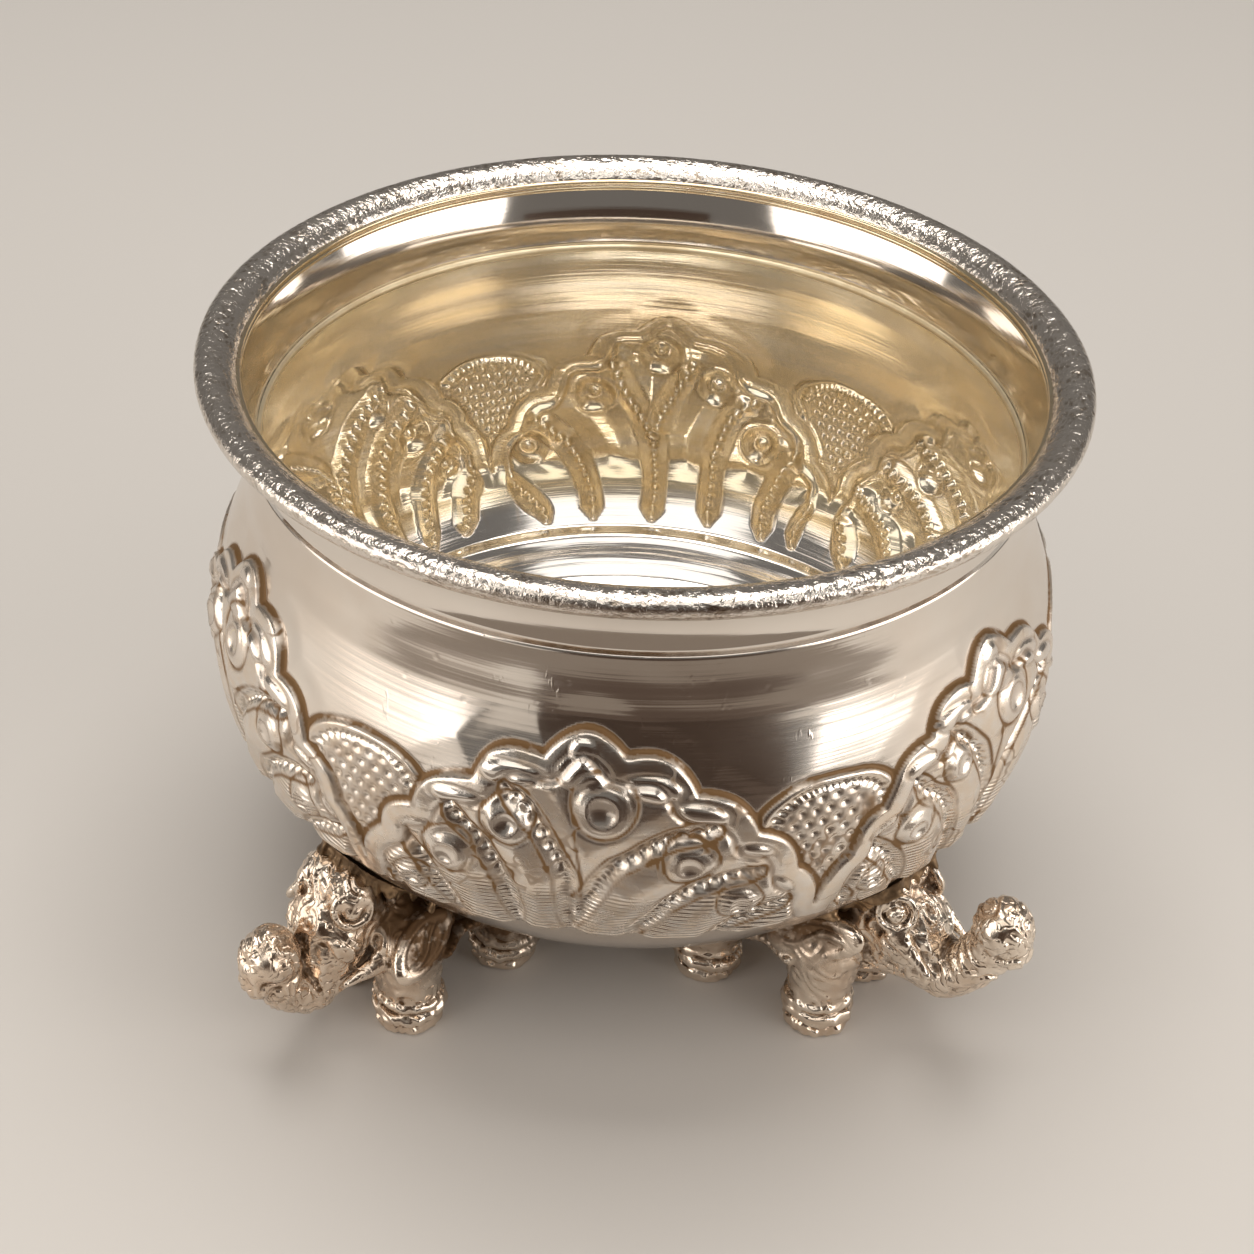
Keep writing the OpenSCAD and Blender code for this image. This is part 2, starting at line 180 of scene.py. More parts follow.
def bowl_distance(r, z):
    """Distance outside the lower belly, true near its surface."""
    down = np.clip(BELLY_Z - z, 1e-3, None)
    radius = np.clip(r, 1e-3, None)
    g = (radius / BELLY_R) ** FULLNESS + (down / BELLY_DROP) ** FULLNESS - 1
    slope_r = FULLNESS * (radius / BELLY_R) ** (FULLNESS - 1) / BELLY_R
    slope_z = FULLNESS * (down / BELLY_DROP) ** (FULLNESS - 1) / BELLY_DROP
    return g / np.hypot(slope_r, slope_z)


# ---------------------------------------------------------------- raised pattern

# Notches of a palmette's scalloped edge from left to right, and how far each scallop bulges out past the next one
NOTCHES = [
    (-15.2, -15.5, 0.2), (-15.5, -10.0, 0.4), (-15.4, -6.2, 0.5), (-13.7, -2.4, 0.65), (-11.5, 0.5, 0.9),
    (-7.4, 3.95, 1.15), (-3.0, 6.2, 1.8), (2.3, 6.5, 1.1), (6.95, 3.9, 0.9), (10.65, 1.0, 0.75), (13.5, -2.4, 0.6),
    (15.4, -6.2, 0.4), (15.5, -10.0, 0.2), (15.2, -15.5, 0),
]
# Glossy pillows inside the ribbon: x, y, turn in degrees, half length, half width, height
PILLOWS = [
    (-11.2, -1.2, 30, 1.0, 0.5, 0.16), (-8.3, 2.3, 4, 1.45, 0.6, 0.24), (-5.0, 4.6, 2, 1.75, 0.72, 0.28),
    (4.1, 4.5, -12, 1.75, 0.72, 0.28), (7.1, 2.7, -14, 1.45, 0.6, 0.26), (10.35, -0.4, -16, 1.15, 0.52, 0.22),
    (12.6, -3.6, -50, 0.9, 0.45, 0.16),
]
# Furrows between the leaves, and the length along each that is beaded
FURROWS = [
    ([(-5.1, 3.5), (-3.9, 2.3), (-2.8, 0.85), (-1.9, -0.85), (-1.1, -2.7), (-0.8, -6.7), (-0.4, -13.5)], 6.6),
    ([(-8.8, 1.4), (-7.9, 0.2), (-6.55, -1.0), (-5.7, -2.4), (-4.95, -4.3), (-4.4, -6.6), (-4.0, -13.3)], 5.6),
    ([(-12.4, -2.2), (-11.0, -3.65), (-9.75, -5.6), (-8.6, -8.0), (-7.7, -12.9)], 3.4),
    ([(-13.6, -6.6), (-12.6, -8.8), (-11.6, -12.4)], 1.6),
    ([(7.8, 1.6), (5.55, 1.05), (3.6, 0.0), (2.0, -1.2), (0.85, -2.7), (0.1, -4.8), (-0.4, -7.2)], 7.2),
    ([(10.8, -2.2), (8.9, -2.7), (6.85, -3.5), (4.85, -5.05), (3.5, -7.2), (3.1, -9.6), (3.0, -13.3)], 6.4),
    ([(13.0, -5.4), (11.2, -6.4), (9.0, -7.7), (7.5, -9.6), (6.8, -12.9)], 3.6),
    ([(13.9, -8.4), (12.6, -9.9), (11.5, -12.4)], 1.6),
]
# Bosses with their rings: x, y, radius
BOSSES = [(1.05, 3.0, 1.4), (-5.0, 1.1, 1.12), (-8.75, -2.35, 1.15), (6.5, -1.0, 1.15), (9.85, -4.75, 1.0),
          (-11.6, -5.9, 0.8)]
# The same for the back palmette, which is steeper and has two furrows that meet in the middle
BACK = 3
BACK_NOTCHES = [
    (-15.2, -15.5, 0.2), (-15.5, -10.0, 0.4), (-15.4, -7.2, 0.4), (-13.3, -4.1, 0.6), (-10.7, -0.6, 0.8),
    (-7.2, 2.4, 1.2), (-2.4, 6.0, 1.9), (2.9, 6.1, 1.3), (6.7, 3.0, 1.1), (10.5, -0.3, 0.8), (13.4, -3.2, 0.6),
    (15.4, -6.8, 0.4), (15.5, -10.0, 0.2), (15.2, -15.5, 0),
]
BACK_PILLOWS = [
    (-11.0, -3.1, 52, 1.1, 0.5, 0.2), (-8.3, 0.1, 40, 1.4, 0.58, 0.24), (-4.5, 3.2, 36, 1.6, 0.64, 0.26),
    (4.5, 3.7, -38, 1.6, 0.64, 0.26), (8.2, 0.4, -40, 1.4, 0.58, 0.24), (11.3, -2.9, -46, 1.1, 0.5, 0.2),
]
BACK_FURROWS = [
    ([(4.8, 1.9), (3.95, 0.25), (2.85, -1.6), (1.85, -3.3), (1.1, -5.1), (0.75, -7.75), (0.75, -10),
      (0.9, -13.5)], 8.0),
    ([(-1.8, 2.1), (-0.9, 0.4), (0.0, -1.45), (0.7, -3.2), (0.9, -5.1)], 8.0),
    ([(11.3, -2.9), (10.4, -3.6), (8.7, -5.1), (7.6, -7.0), (6.8, -9.2), (6.3, -13.5)], 6.0),
    ([(14.4, -7.6), (13.6, -8.6), (12.6, -9.6), (11.5, -11.0), (10.6, -13.3)], 2.0),
    ([(-7.3, -0.2), (-6.25, -1.2), (-5.0, -3.55), (-4.4, -5.8), (-4.4, -8.0), (-4.9, -13.5)], 6.0),
    ([(-11.6, -4.2), (-10.6, -6.0), (-10.0, -7.8), (-9.8, -9.6), (-10.2, -13.3)], 4.0),
    ([(-14.2, -8.2), (-13.7, -10.0), (-13.6, -12.8)], 1.6),
]
BACK_BOSSES = [(0.9, 2.9, 1.4), (6.0, -1.1, 1.3), (-4.0, 0.1, 1.25), (11.6, -5.4, 1.2), (-8.1, -4.3, 1.2)]
BEAD_STEP = 0.92
LADDER_STEP = 0.42
# Where the leaves end and how softly, where the furrows end, how broad they are, the length of their points, and
# how much the fine lines show
OUTSIDE = (-8.3, 0.3, -8.5, 1.0, 2.4, 1.0)
INSIDE = (-7.6, 1.2, -12.2, 1.45, 1.3, 0.0)


def along_line(x, y, line):
    """Distance from a line of points, and the length along it."""
    best = np.full(x.shape, 99.0)
    length = np.zeros(x.shape)
    run = 0.0
    for (ax, ay), (bx, by) in zip(line, line[1:]):
        long = math.hypot(bx - ax, by - ay)
        ux, uy = (bx - ax) / long, (by - ay) / long
        t = np.clip((x - ax) * ux + (y - ay) * uy, 0, long)
        d = np.hypot(x - ax - t * ux, y - ay - t * uy)
        nearer = d < best
        best = np.where(nearer, d, best)
        length = np.where(nearer, run + t, length)
        run += long
    return best, length


def beads(across, along, step, radius):
    off = along - step * np.round(along / step)
    return dome(np.hypot(across, off) / radius)


def scalloped_edge(notches):
    """Points along a palmette's edge, with an arc between each two notches."""
    points = []
    for (ax, ay, bulge), (bx, by, _) in zip(notches, notches[1:]):
        long = math.hypot(bx - ax, by - ay)
        for t in np.arange(0, 1, 0.1):
            out = bulge * 4 * t * (1 - t)
            points.append((ax + (bx - ax) * t - out * (by - ay) / long, ay + (by - ay) * t + out * (bx - ax) / long))
    return points + [notches[-1][:2]]


FRONT_DESIGN = (scalloped_edge(NOTCHES), PILLOWS, FURROWS, BOSSES)
BACK_DESIGN = (scalloped_edge(BACK_NOTCHES), BACK_PILLOWS, BACK_FURROWS, BACK_BOSSES)


def palmette_distance(x, y, edge):
    """Distance outside a palmette's edge, below zero on the palmette."""
    d, _ = along_line(x, y, edge)
    crossed = np.zeros(x.shape, dtype=bool)
    for (ax, ay), (bx, by) in zip(edge, edge[1:]):
        crossed ^= ((ax > x) != (bx > x)) & (y < ay + (x - ax) * (by - ay) / (bx - ax if bx != ax else 1))
    return np.where(crossed, -d, d)


def palmette(x, y, design, tip, broad, point, fine):
    """A palmette's form, the depth of its furrows, the marks punched in from outside, the tarnish, the shine, the
    distance outside its edge, and where its inner field lies."""
    # Ribbon along the scalloped edge, raised with a groove on either side
    edge, pillows, furrows, bosses = design
    d = palmette_distance(x, y, edge)
    inner = smooth_step(-1.5, -2.0, d)
    form = 0.34 * smooth_step(0.08, -0.2, d) + 0.04 * hump(d + 0.75, 0.6) - 0.05 * hump(d - 0.2, 0.2)
    form -= 0.24 * hump(d + 1.78, 0.46)
    marks = np.zeros(x.shape)
    tarnish = 1.5 * hump(d - 0.16, 0.3) + 0.5 * hump(d + 1.8, 0.25)
    shine = 0.8 * hump(d + 1.6, 0.5)

    # Ground sunk round the crown
    form -= 0.13 * smooth_step(2.4, 0.4, d) * smooth_step(0.0, 0.3, d) * smooth_step(0.5, 4.5, y)

    # Crown with its knob, and the glossy pillows under the ribbon's scallops
    crown = np.hypot((x + 0.35) / np.clip(1.5 + 0.35 * (6.0 - y), 0.6, 2.2), (y - 5.45) / 1.15)
    knob = np.hypot(x + 0.45, y - 6.75) / 0.85
    form += fine * (0.26 * dome(crown) + 0.22 * dome(knob))
    tarnish += 0.5 * hump(crown - 1.1, 0.12)
    shine = np.maximum(shine, 1.6 * np.maximum(dome(crown), dome(knob)))
    for px, py, angle, half, thick, rise in pillows:
        c, si = math.cos(math.radians(angle)), math.sin(math.radians(angle))
        ux, uy = x - px, y - py
        q = np.hypot((ux * c + uy * si) / half, (uy * c - ux * si) / thick)
        form += fine * (rise * dome(q) - 0.06 * hump(q - 1.2, 0.25))
        tarnish += 0.3 * hump(q - 1.2, 0.2)
        shine = np.maximum(shine, 1.6 * dome(q))

    # Furrows between the swollen leaves: beaded above, a ladder of cuts below, each ending in a point
    leaf = np.full(x.shape, 9.0)
    furrow = np.zeros(x.shape)
    for line, beaded in furrows:
        reach = sum(math.dist(a, b) for a, b in zip(line, line[1:]))
        across, along = along_line(x, y, line)
        taper = smooth_step(0, point, np.minimum(reach - along, y - tip)) * smooth_step(-0.6, 0.9, along)
        width = broad * (0.42 + 0.5 * taper)
        leaf = np.minimum(leaf, across / width)
        low = fine * smooth_step(beaded - 0.4, beaded + 0.4, along)
        furrow = np.maximum(furrow, (0.4 + 0.6 * taper) * hump(across, width))
        pearls = beads(across, along, BEAD_STEP, 0.33 + 0.08 * fine)
        marks += inner * (1 - low) * 0.28 * pearls
        tarnish += inner * (1 - fine) * 0.7 * hump(across, 0.75) * (1 - pearls)
        marks += inner * low * 0.085 * hump(across, 0.62) * np.cos(2 * np.pi * along / LADDER_STEP)
        tarnish += inner * hump(across - 0.9 * width, 0.2) * (0.95 - 0.4 * low)
    form += inner * (0.28 * smooth_step(0.7, 2.4, leaf) - 0.12)
    grooves = inner * 0.4 * furrow

    # Bosses: mounds with a punched hollow in each, inside an oval line
    for bx, by, radius in bosses:
        px, py = x - bx, y - by
        q = np.hypot(px, py) / radius
        form += inner * ((0.44 - 0.16 * fine) * np.clip(1 - (q / 1.3) ** 2, 0, 1) - 0.05 * hump(q - 1.35, 0.25))
        punch = np.clip(1 - (q / (0.44 + 0.24 * fine)) ** 2, 0, 1)
        marks += inner * ((0.26 + 0.1 * fine) * punch - 0.05 * fine * hump(q - 0.78, 0.14))
        tarnish += inner * (0.45 * hump(q - 0.66, 0.1) + (1 - fine) * 0.6 * hump(q - 0.7, 0.3))
        shine = np.maximum(shine, inner * 1.4 * dome(q / 1.05))
        q = np.hypot(px / 1.5, (py - 0.25 * radius) / 1.62) / radius
        form -= fine * inner * 0.06 * hump(q - 1.0, 0.12)
        tarnish += inner * 0.9 * hump(q - 1.0, 0.11)
    tarnish += inner * 0.8 * hump(x + 0.55 + 0.1 * y, 0.22) * smooth_step(-3.4, -2.4, y) * smooth_step(2.2, 1.4, y)
    return form, grooves, marks, tarnish, shine, d, inner


def pattern(phi, s, foot, fade, tip, broad, point, fine):
    """Raised pattern at degrees phi and arc length s: the sheet's form, the depth of the marks punched in
    from outside, the tarnish, the dullness and the hatching. The leaves fade out at foot, and the furrows run on
    to points at tip. Fine lines and pillows show by the factor fine."""
    turn = (phi - PALMETTE_AXIS) / PALMETTE_STEP
    which = np.floor(turn + 0.5)
    shift = np.random.default_rng(41).uniform(-PALMETTE_STRAY, PALMETTE_STRAY, (PALMETTES, 2))
    index = which.astype(int) % PALMETTES
    round_x, round_y = BELLY_R * np.cos(np.radians(phi)), BELLY_R * np.sin(np.radians(phi))
    wander_x = LINE_STRAY * waves(5, 6, 3.5, 9.0, round_x, round_y, s)
    wander_y = LINE_STRAY * waves(6, 6, 3.5, 9.0, round_x, round_y, s)
    x = (phi - PALMETTE_AXIS - which * PALMETTE_STEP) * MM_PER_DEGREE + shift[index, 0] + wander_x
    lower = BACK_LOWER * ((1 - np.cos(np.radians(phi))) / 2) ** 1.5
    y = s + lower + shift[index, 1] + wander_y

    parts = np.zeros((7,) + x.shape)
    for design, mask in ((FRONT_DESIGN, index != BACK), (BACK_DESIGN, index == BACK)):
        parts[:, mask] = palmette(x[mask], y[mask], design, tip, broad, point, fine)
    form, grooves, marks, tarnish, shine, d, inner = parts

    # Fans of dots between the palmettes
    fx = (phi - PALMETTE_AXIS - PALMETTE_STEP / 2) / PALMETTE_STEP
    fx = (fx - np.floor(fx + 0.5)) * PALMETTE_STEP * MM_PER_DEGREE + wander_x
    fy = s + lower + wander_y
    angle = np.arctan2(fy - 1.0, fx)
    q = np.hypot(fx / 5.1, (fy - 1.0) / 3.1)
    side = np.abs(fx) - np.interp(fy, [-7.6, -5, -3, -1, 1.0], [0.1, 1.6, 2.9, 4.2, 5.1])
    arch = np.where(fy > 1.0, (q - 1) * 3.4, side * 0.85)
    free = smooth_step(0.1, 0.4, d)
    field = free * smooth_step(0.1, -0.1, arch)
    form += free * (0.16 * hump(arch + 0.36, 0.3) - 0.1 * hump(arch - 0.02, 0.22))
    form += 0.05 * field
    tarnish += free * 1.5 * hump(arch - 0.04, 0.28)
    on_arch = smooth_step(0.6, 1.2, fy)
    marks += field * on_arch * 0.2 * beads(arch + 0.9, angle * 4.1, 0.68, 0.29)
    row = np.round(fy / 0.88)
    across = fx - 0.5 * (row % 2)
    dots = dome(np.hypot(across - np.round(across), fy - 0.88 * row) / 0.32)
    dotted = field * smooth_step(-1.2, -1.45, arch)
    marks += 0.18 * dotted * dots
    tarnish += 0.22 * dotted * (1 - dots)

    body = smooth_step(foot - fade, foot + fade, y)
    end = smooth_step(tip - 0.2, tip + 0.5, y)
    dull = np.maximum(smooth_step(0.4, 0.1, d), field) * body * np.clip(1 - shine, 0, 1)
    hatch = inner * smooth_step(-3.0, -5.0, y) * body
    return form * body - grooves * end, marks * end, np.clip(tarnish * end, 0, 1), dull, hatch


# ---------------------------------------------------------------- bowl

def uneven_ring(seed, phi, s):
    """Uneven surface that closes round the bowl."""
    return waves(seed, 8, 4.0, 12.0, BELLY_R * np.cos(np.radians(phi)), BELLY_R * np.sin(np.radians(phi)), s)


def bowl_shell():
    phi = np.arange(COLUMNS) * 360.0 / COLUMNS - 180
    s_low, s_top = PROFILE[0][0], PROFILE[0][-1]
    outer = np.concatenate([np.arange(s_top, 8.7, -0.35), np.arange(8.7, -14.6, -0.145),
                            np.linspace(-14.6, s_low + 0.3, 34)])
    inner = np.concatenate([np.linspace(s_low + 1.0, -20.5, 14), np.arange(-20.3, -15.2, 0.15),
                            np.arange(-15.2, 7.6, 0.17), np.linspace(7.7, s_top, 18)])

    rows = []
    layers = {"tarnish": [], "dull": [], "hatch": [], "bare_and_painted_dark_band": []}

    def add(points, *values):
        rows.append(points)
        for key, value in zip(layers, values):
            layers[key].append(value)

    # Inside, from the middle of the floor up
    grid_phi, grid_s = np.broadcast_arrays(phi[None, :], inner[:, None])
    r, z, nr, nz = profile_at(grid_s)
    form, marks, tarnish, dull, hatch = pattern(grid_phi, grid_s, *INSIDE)
    bare_and_painted_dark_band = smooth_step(-10.4, -12.4, grid_s) * smooth_step(0.12, 0.02, -form)
    worked = smooth_step(-15.5, -12.5, grid_s) * smooth_step(9.5, 7.0, grid_s)
    thick = WALL + WORKED_WALL * worked
    ring = 0.8 * hump(r - WALL - FLOOR_RING_R, 1.5)
    lift = np.where(grid_s < -12, ring, 0) - 0.35 * smooth_step(22.4, 21.4, r) * (grid_s < -15)
    out = INSIDE_FORM * form - INSIDE_MARKS * marks - thick + 0.02 * uneven_ring(11, grid_phi, grid_s)
    add(turned(r + out * nr, z + out * nz + lift, np.radians(grid_phi)), tarnish, dull, hatch, bare_and_painted_dark_band)
    count = len(inner)

    # Outside, from the neck down
    grid_phi, grid_s = np.broadcast_arrays(phi[None, :], outer[:, None])
    r, z, nr, nz = profile_at(grid_s)
    form, marks, tarnish, dull, hatch = pattern(grid_phi, grid_s, *OUTSIDE)
    uneven = 0.035 * uneven_ring(12, grid_phi, grid_s)
    uneven *= smooth_step(s_top, s_top - 2, grid_s)
    out = form - marks - SUNK * smooth_step(-15.5, -13.0, grid_s) * smooth_step(10.5, 8.5, grid_s) + uneven
    # Band below the pattern, darkened in the outside material: painted shade standing in for the shadowed floor that
    # this polished underside reflects
    bare_and_painted_dark_band = smooth_step(-8.2, -8.8, grid_s)
    add(turned(r + out * nr, z + out * nz, np.radians(grid_phi)), tarnish, dull, hatch, bare_and_painted_dark_band)

    points = np.concatenate(rows).reshape(-1, 3)
    total = count + len(outer)
    quads = ring_faces(total, COLUMNS, False)
    first, last = len(points), len(points) + 1
    j = np.arange(COLUMNS)
    beside = (j + 1) % COLUMNS
    base = (total - 1) * COLUMNS
    inner_fan = np.stack([np.full(COLUMNS, first), j, beside], axis=-1)
    outer_fan = np.stack([base + j, np.full(COLUMNS, last), base + beside], axis=-1)
    middles = [[0, 0, points[:COLUMNS, 2].mean()], [0, 0, points[base:base + COLUMNS, 2].mean()]]
    points = np.concatenate([points, middles])
    attributes = {key: np.concatenate([np.concatenate(v).ravel(), [0, 0]]) for key, v in layers.items()}
    slots = [(np.arange(len(quads)) < (count - 1) * COLUMNS), np.ones(COLUMNS), np.zeros(COLUMNS)]
    return mesh_object("bowl_shell", points, [quads, inner_fan, outer_fan], attributes, slots)


# ---------------------------------------------------------------- collar

def collar():
    """Concave neck and rolled lip as one ring, with a hammered lip."""
    low = NECK_Z + SEAM_LAND
    flare, tall = GOLD_R - THROAT_R, GOLD_Z - low
    u = np.linspace(0, 1, 22)
    inside = np.stack([THROAT_R + flare * (1 - np.cos(np.pi / 2 * u)), low + tall * u], axis=-1)
    along = np.stack([flare * np.pi / 2 * np.sin(np.pi / 2 * u), np.full(u.shape, tall)], axis=-1)
    along /= np.linalg.norm(along, axis=1)[:, None]
    outside = inside + WALL * np.stack([along[:, 1], -along[:, 0]], axis=-1)
    keep = u < 0.93
    t = np.radians(np.linspace(180, -128, 74))[1:]
    c, s = math.cos(LIP_TILT), math.sin(LIP_TILT)
    lip = np.stack([LIP_MID_R + LIP_LONG * np.cos(t) * c - LIP_SHORT * np.sin(t) * s,
                    LIP_Z + LIP_LONG * np.cos(t) * s + LIP_SHORT * np.sin(t) * c], axis=-1)
    line = np.concatenate([[[THROAT_R, NECK_Z]], inside, lip, outside[keep][::-1], [[NECK_R, NECK_Z]]])
    step = np.roll(line, -1, axis=0) - np.roll(line, 1, axis=0)
    normal = np.stack([-step[:, 1], step[:, 0]], axis=-1)
    normal /= np.linalg.norm(normal, axis=1)[:, None]
    index = np.arange(len(line))
    first = 1 + len(inside)
    on_lip = smooth_step(first + 3, first + 9, index) * smooth_step(first + 64, first + 54, index)
    run = np.concatenate([[0], np.cumsum(np.linalg.norm(np.diff(line, axis=0), axis=1))])

    phi = np.radians(np.arange(COLUMNS) * 360.0 / COLUMNS - 180)
    cx, cy = LIP_MID_R * np.cos(phi)[None, :], LIP_MID_R * np.sin(phi)[None, :]
    runs = run[:, None]
    worms = np.abs(waves(21, 16, 0.5, 1.0, cx, cy, 1.3 * runs))
    dents = waves(22, 12, 1.2, 3.0, cx, cy, runs)
    hammer = on_lip[:, None] * (0.046 * (0.55 - np.minimum(worms, 1)) + 0.02 * dents)
    uneven = 0.02 * waves(23, 6, 9.0, 25.0, cx, cy, runs)
    out = np.minimum(hammer, 0.0) + 0.4 * np.maximum(hammer, 0.0) - 0.055 * on_lip[:, None]
    out = out + uneven * (on_lip[:, None] > 0)
    r = line[:, 0][:, None] + out * normal[:, 0][:, None]
    z = line[:, 1][:, None] + out * normal[:, 1][:, None]
    points = turned(r, z, phi[None, :]).reshape(-1, 3)
    quads = ring_faces(len(line), COLUMNS, True)
    mask = np.broadcast_to(on_lip[:, None], r.shape)
    pits = np.clip(-hammer / 0.02, 0, 1)
    return mesh_object("collar", points, [quads], {"hammer": mask, "tarnish": pits})


# ---------------------------------------------------------------- cast elephants

FAR = 4.0
VOXEL = 0.125
# Half width, in voxels, of the cube that hollows are told by
BLUR = 4
# How far from the bowl the painted shade under the bowl reaches
BOWL_SHADE_REACH = 7.5


def smooth_min(a, b, soft):
    h = np.clip(soft - np.abs(a - b), 0, None) / soft
    return np.minimum(a, b) - h * h * soft / 4


class Casting:
    """Distance field of one casting on a grid, in millimetres, in the elephant's own frame."""

    def __init__(self, low, high):
        self.low = np.array(low, float)
        count = np.ceil((np.array(high) - self.low) / VOXEL).astype(int) + 1
        self.axes = [self.low[i] + VOXEL * np.arange(count[i]) for i in range(3)]
        self.d = np.full(count, FAR, np.float32)

    def window(self, low, high):
        cuts = []
        for i in range(3):
            a = np.searchsorted(self.axes[i], low[i])
            b = np.searchsorted(self.axes[i], high[i])
            cuts.append(slice(max(0, a), max(1, b)))
        x, y, z = (self.axes[i][cuts[i]] for i in range(3))
        return tuple(cuts), x[:, None, None], y[None, :, None], z[None, None, :]

    def add(self, distance, low, high, soft):
        pad = 1.2
        cuts, x, y, z = self.window([v - pad for v in low], [v + pad for v in high])
        self.d[cuts] = smooth_min(self.d[cuts], distance(x, y, z), soft)

    def cone(self, a, b, ra, rb, soft):
        """Rounded cone from a to b."""
        a, b = np.array(a, float), np.array(b, float)
        axis = b - a
        long = max(float(axis @ axis), 1e-6)
        most = max(ra, rb)

        def distance(x, y, z):
            px, py, pz = x - a[0], y - a[1], z - a[2]
            t = np.clip((px * axis[0] + py * axis[1] + pz * axis[2]) / long, 0, 1)
            away = (px - t * axis[0]) ** 2 + (py - t * axis[1]) ** 2 + (pz - t * axis[2]) ** 2
            return np.sqrt(away) - ra - t * (rb - ra)

        self.add(distance, np.minimum(a, b) - most, np.maximum(a, b) + most, soft)

    def ball(self, p, r, soft):
        self.cone(p, p, r, r, soft)

    def ring(self, p, axis, big, small, soft):
        """Torus round p."""
        p, axis = np.array(p, float), np.array(axis, float)
        axis /= np.linalg.norm(axis)

        def distance(x, y, z):
            px, py, pz = x - p[0], y - p[1], z - p[2]
            up = px * axis[0] + py * axis[1] + pz * axis[2]
            flat = np.sqrt(np.clip(px * px + py * py + pz * pz - up * up, 0, None))
            return np.hypot(flat - big, up) - small

        self.add(distance, p - big - small, p + big + small, soft)

    def blurred(self, half):
        """Field averaged over a cube, to tell hollows from ridges."""
        out = self.d.astype(np.float64)
        width = 2 * half + 1
        for i in range(3):
            padded = np.concatenate([np.repeat(out.take([0], axis=i), half + 1, axis=i), out,
                                     np.repeat(out.take([-1], axis=i), half, axis=i)], axis=i)
            total = np.cumsum(padded, axis=i)
            n = out.shape[i]
            out = (total.take(np.arange(width, width + n), axis=i) - total.take(np.arange(n), axis=i)) / width
        return out

    def surface(self):
        grid = openvdb.FloatGrid(FAR)
        grid.copyFromArray(self.d)
        points, quads = grid.convertToQuads(0.0)
        hollow = self.blurred(BLUR)
        cell = np.clip(np.round(points).astype(int), 0, np.array(self.d.shape) - 1)
        cavity = hollow[cell[:, 0], cell[:, 1], cell[:, 2]] - self.d[cell[:, 0], cell[:, 1], cell[:, 2]]
        return self.low + points * VOXEL, quads, cavity


STRIDE, TRACK = 9.3, 6.8
HEAD = np.array([7.2, 0.0, 10.9])
BODY_R = 3.5


def smooth_line(points, count):
    """Curve through points."""
    points = np.array(points, float)
    ends = np.concatenate([[2 * points[0] - points[1]], points, [2 * points[-1] - points[-2]]])
    out = []
    for a, b, c, d in zip(ends, ends[1:], ends[2:], ends[3:]):
        t = np.linspace(0, 1, count, endpoint=False)[:, None]
        bend = (2 * a - 5 * b + 4 * c - d) * t ** 2
        out.append(0.5 * (2 * b + (c - a) * t + bend + (3 * b - a - 3 * c + d) * t ** 3))
    return np.concatenate(out + [points[-1:]])


def elephant_leg(cast, x, y, top, thick):
    """Leg that narrows to the ankle, with a thick doubled anklet and a small foot with toes."""
    cast.cone((x, y, 2.5), (x, y * 0.92, top), 2.15, thick, 0.8)

    def foot(px, py, pz):
        flat = np.hypot(px - x, py - y) - 1.85
        tall = np.abs(pz - 0.6) - 0.15
        return np.hypot(np.clip(flat, 0, None), np.clip(tall, 0, None)) + np.minimum(np.maximum(flat, tall), 0) - 0.5

    cast.add(foot, (x - 2.9, y - 2.9, 0), (x + 2.9, y + 2.9, 1.3), 0.3)
    cast.cone((x, y, 0.8), (x, y, 2.4), 1.9, 1.9, 0.2)
    cast.ring((x, y, 1.75), (0.1, 0.08, 1), 2.1, 0.56, 0.14)
    cast.ring((x, y, 2.55), (-0.08, 0.1, 1), 2.06, 0.42, 0.12)
    for turn in (-60, -20, 20, 60):
        c, s = math.cos(math.radians(turn)), math.sin(math.radians(turn))
        cast.ball((x + 2.05 * c, y + 2.05 * s, 0.55), 0.48, 0.1)


def elephant_ear(cast, side, ear):
    """Ear laid over the shoulder from its root to its tip, with a rolled edge and a scroll of folds."""
    root, tip = (np.array(point) * [1, side, 1] for point in ear)
    long = np.linalg.norm(tip - root)
    a = (tip - root) / long
    n = np.array([0.25, side * 1.0, 0.35])
    n -= (n @ a) * a
    n /= np.linalg.norm(n)
    b = np.cross(n, a)
    mid = (root + tip) / 2
    half, wide = long / 2 + 0.35, 1.5

    def local(x, y, z):
        px, py, pz = x - mid[0], y - mid[1], z - mid[2]
        return tuple(px * v[0] + py * v[1] + pz * v[2] for v in (a, b, n))

    def leaf(x, y, z):
        u, v, w = local(x, y, z)
        q = np.sqrt((u / half) ** 2 + (v / wide) ** 2)
        return np.maximum((q - 1) * wide, np.abs(w + 0.12 * v * v + 0.2) - 0.5)

    def edge(x, y, z):
        u, v, w = local(x, y, z)
        q = np.sqrt((u / half) ** 2 + (v / wide) ** 2)
        return np.hypot((q - 0.92) * wide * 0.95, w + 0.1 * v * v - 0.2) - 0.34

    def scroll(x, y, z):
        u, v, w = local(x, y, z)
        thinner = 0.4 * np.clip(np.abs(u) - half + 1.1, 0, None)
        return np.hypot(v - 0.42 * np.sin(1.25 * u + 0.5), w - 0.3) - 0.27 + thinner

    low, high = mid - half - 0.5, mid + half + 0.5
    cast.add(leaf, low, high, 0.4)
    cast.add(edge, low, high, 0.12)
    cast.add(scroll, low, high, 0.12)


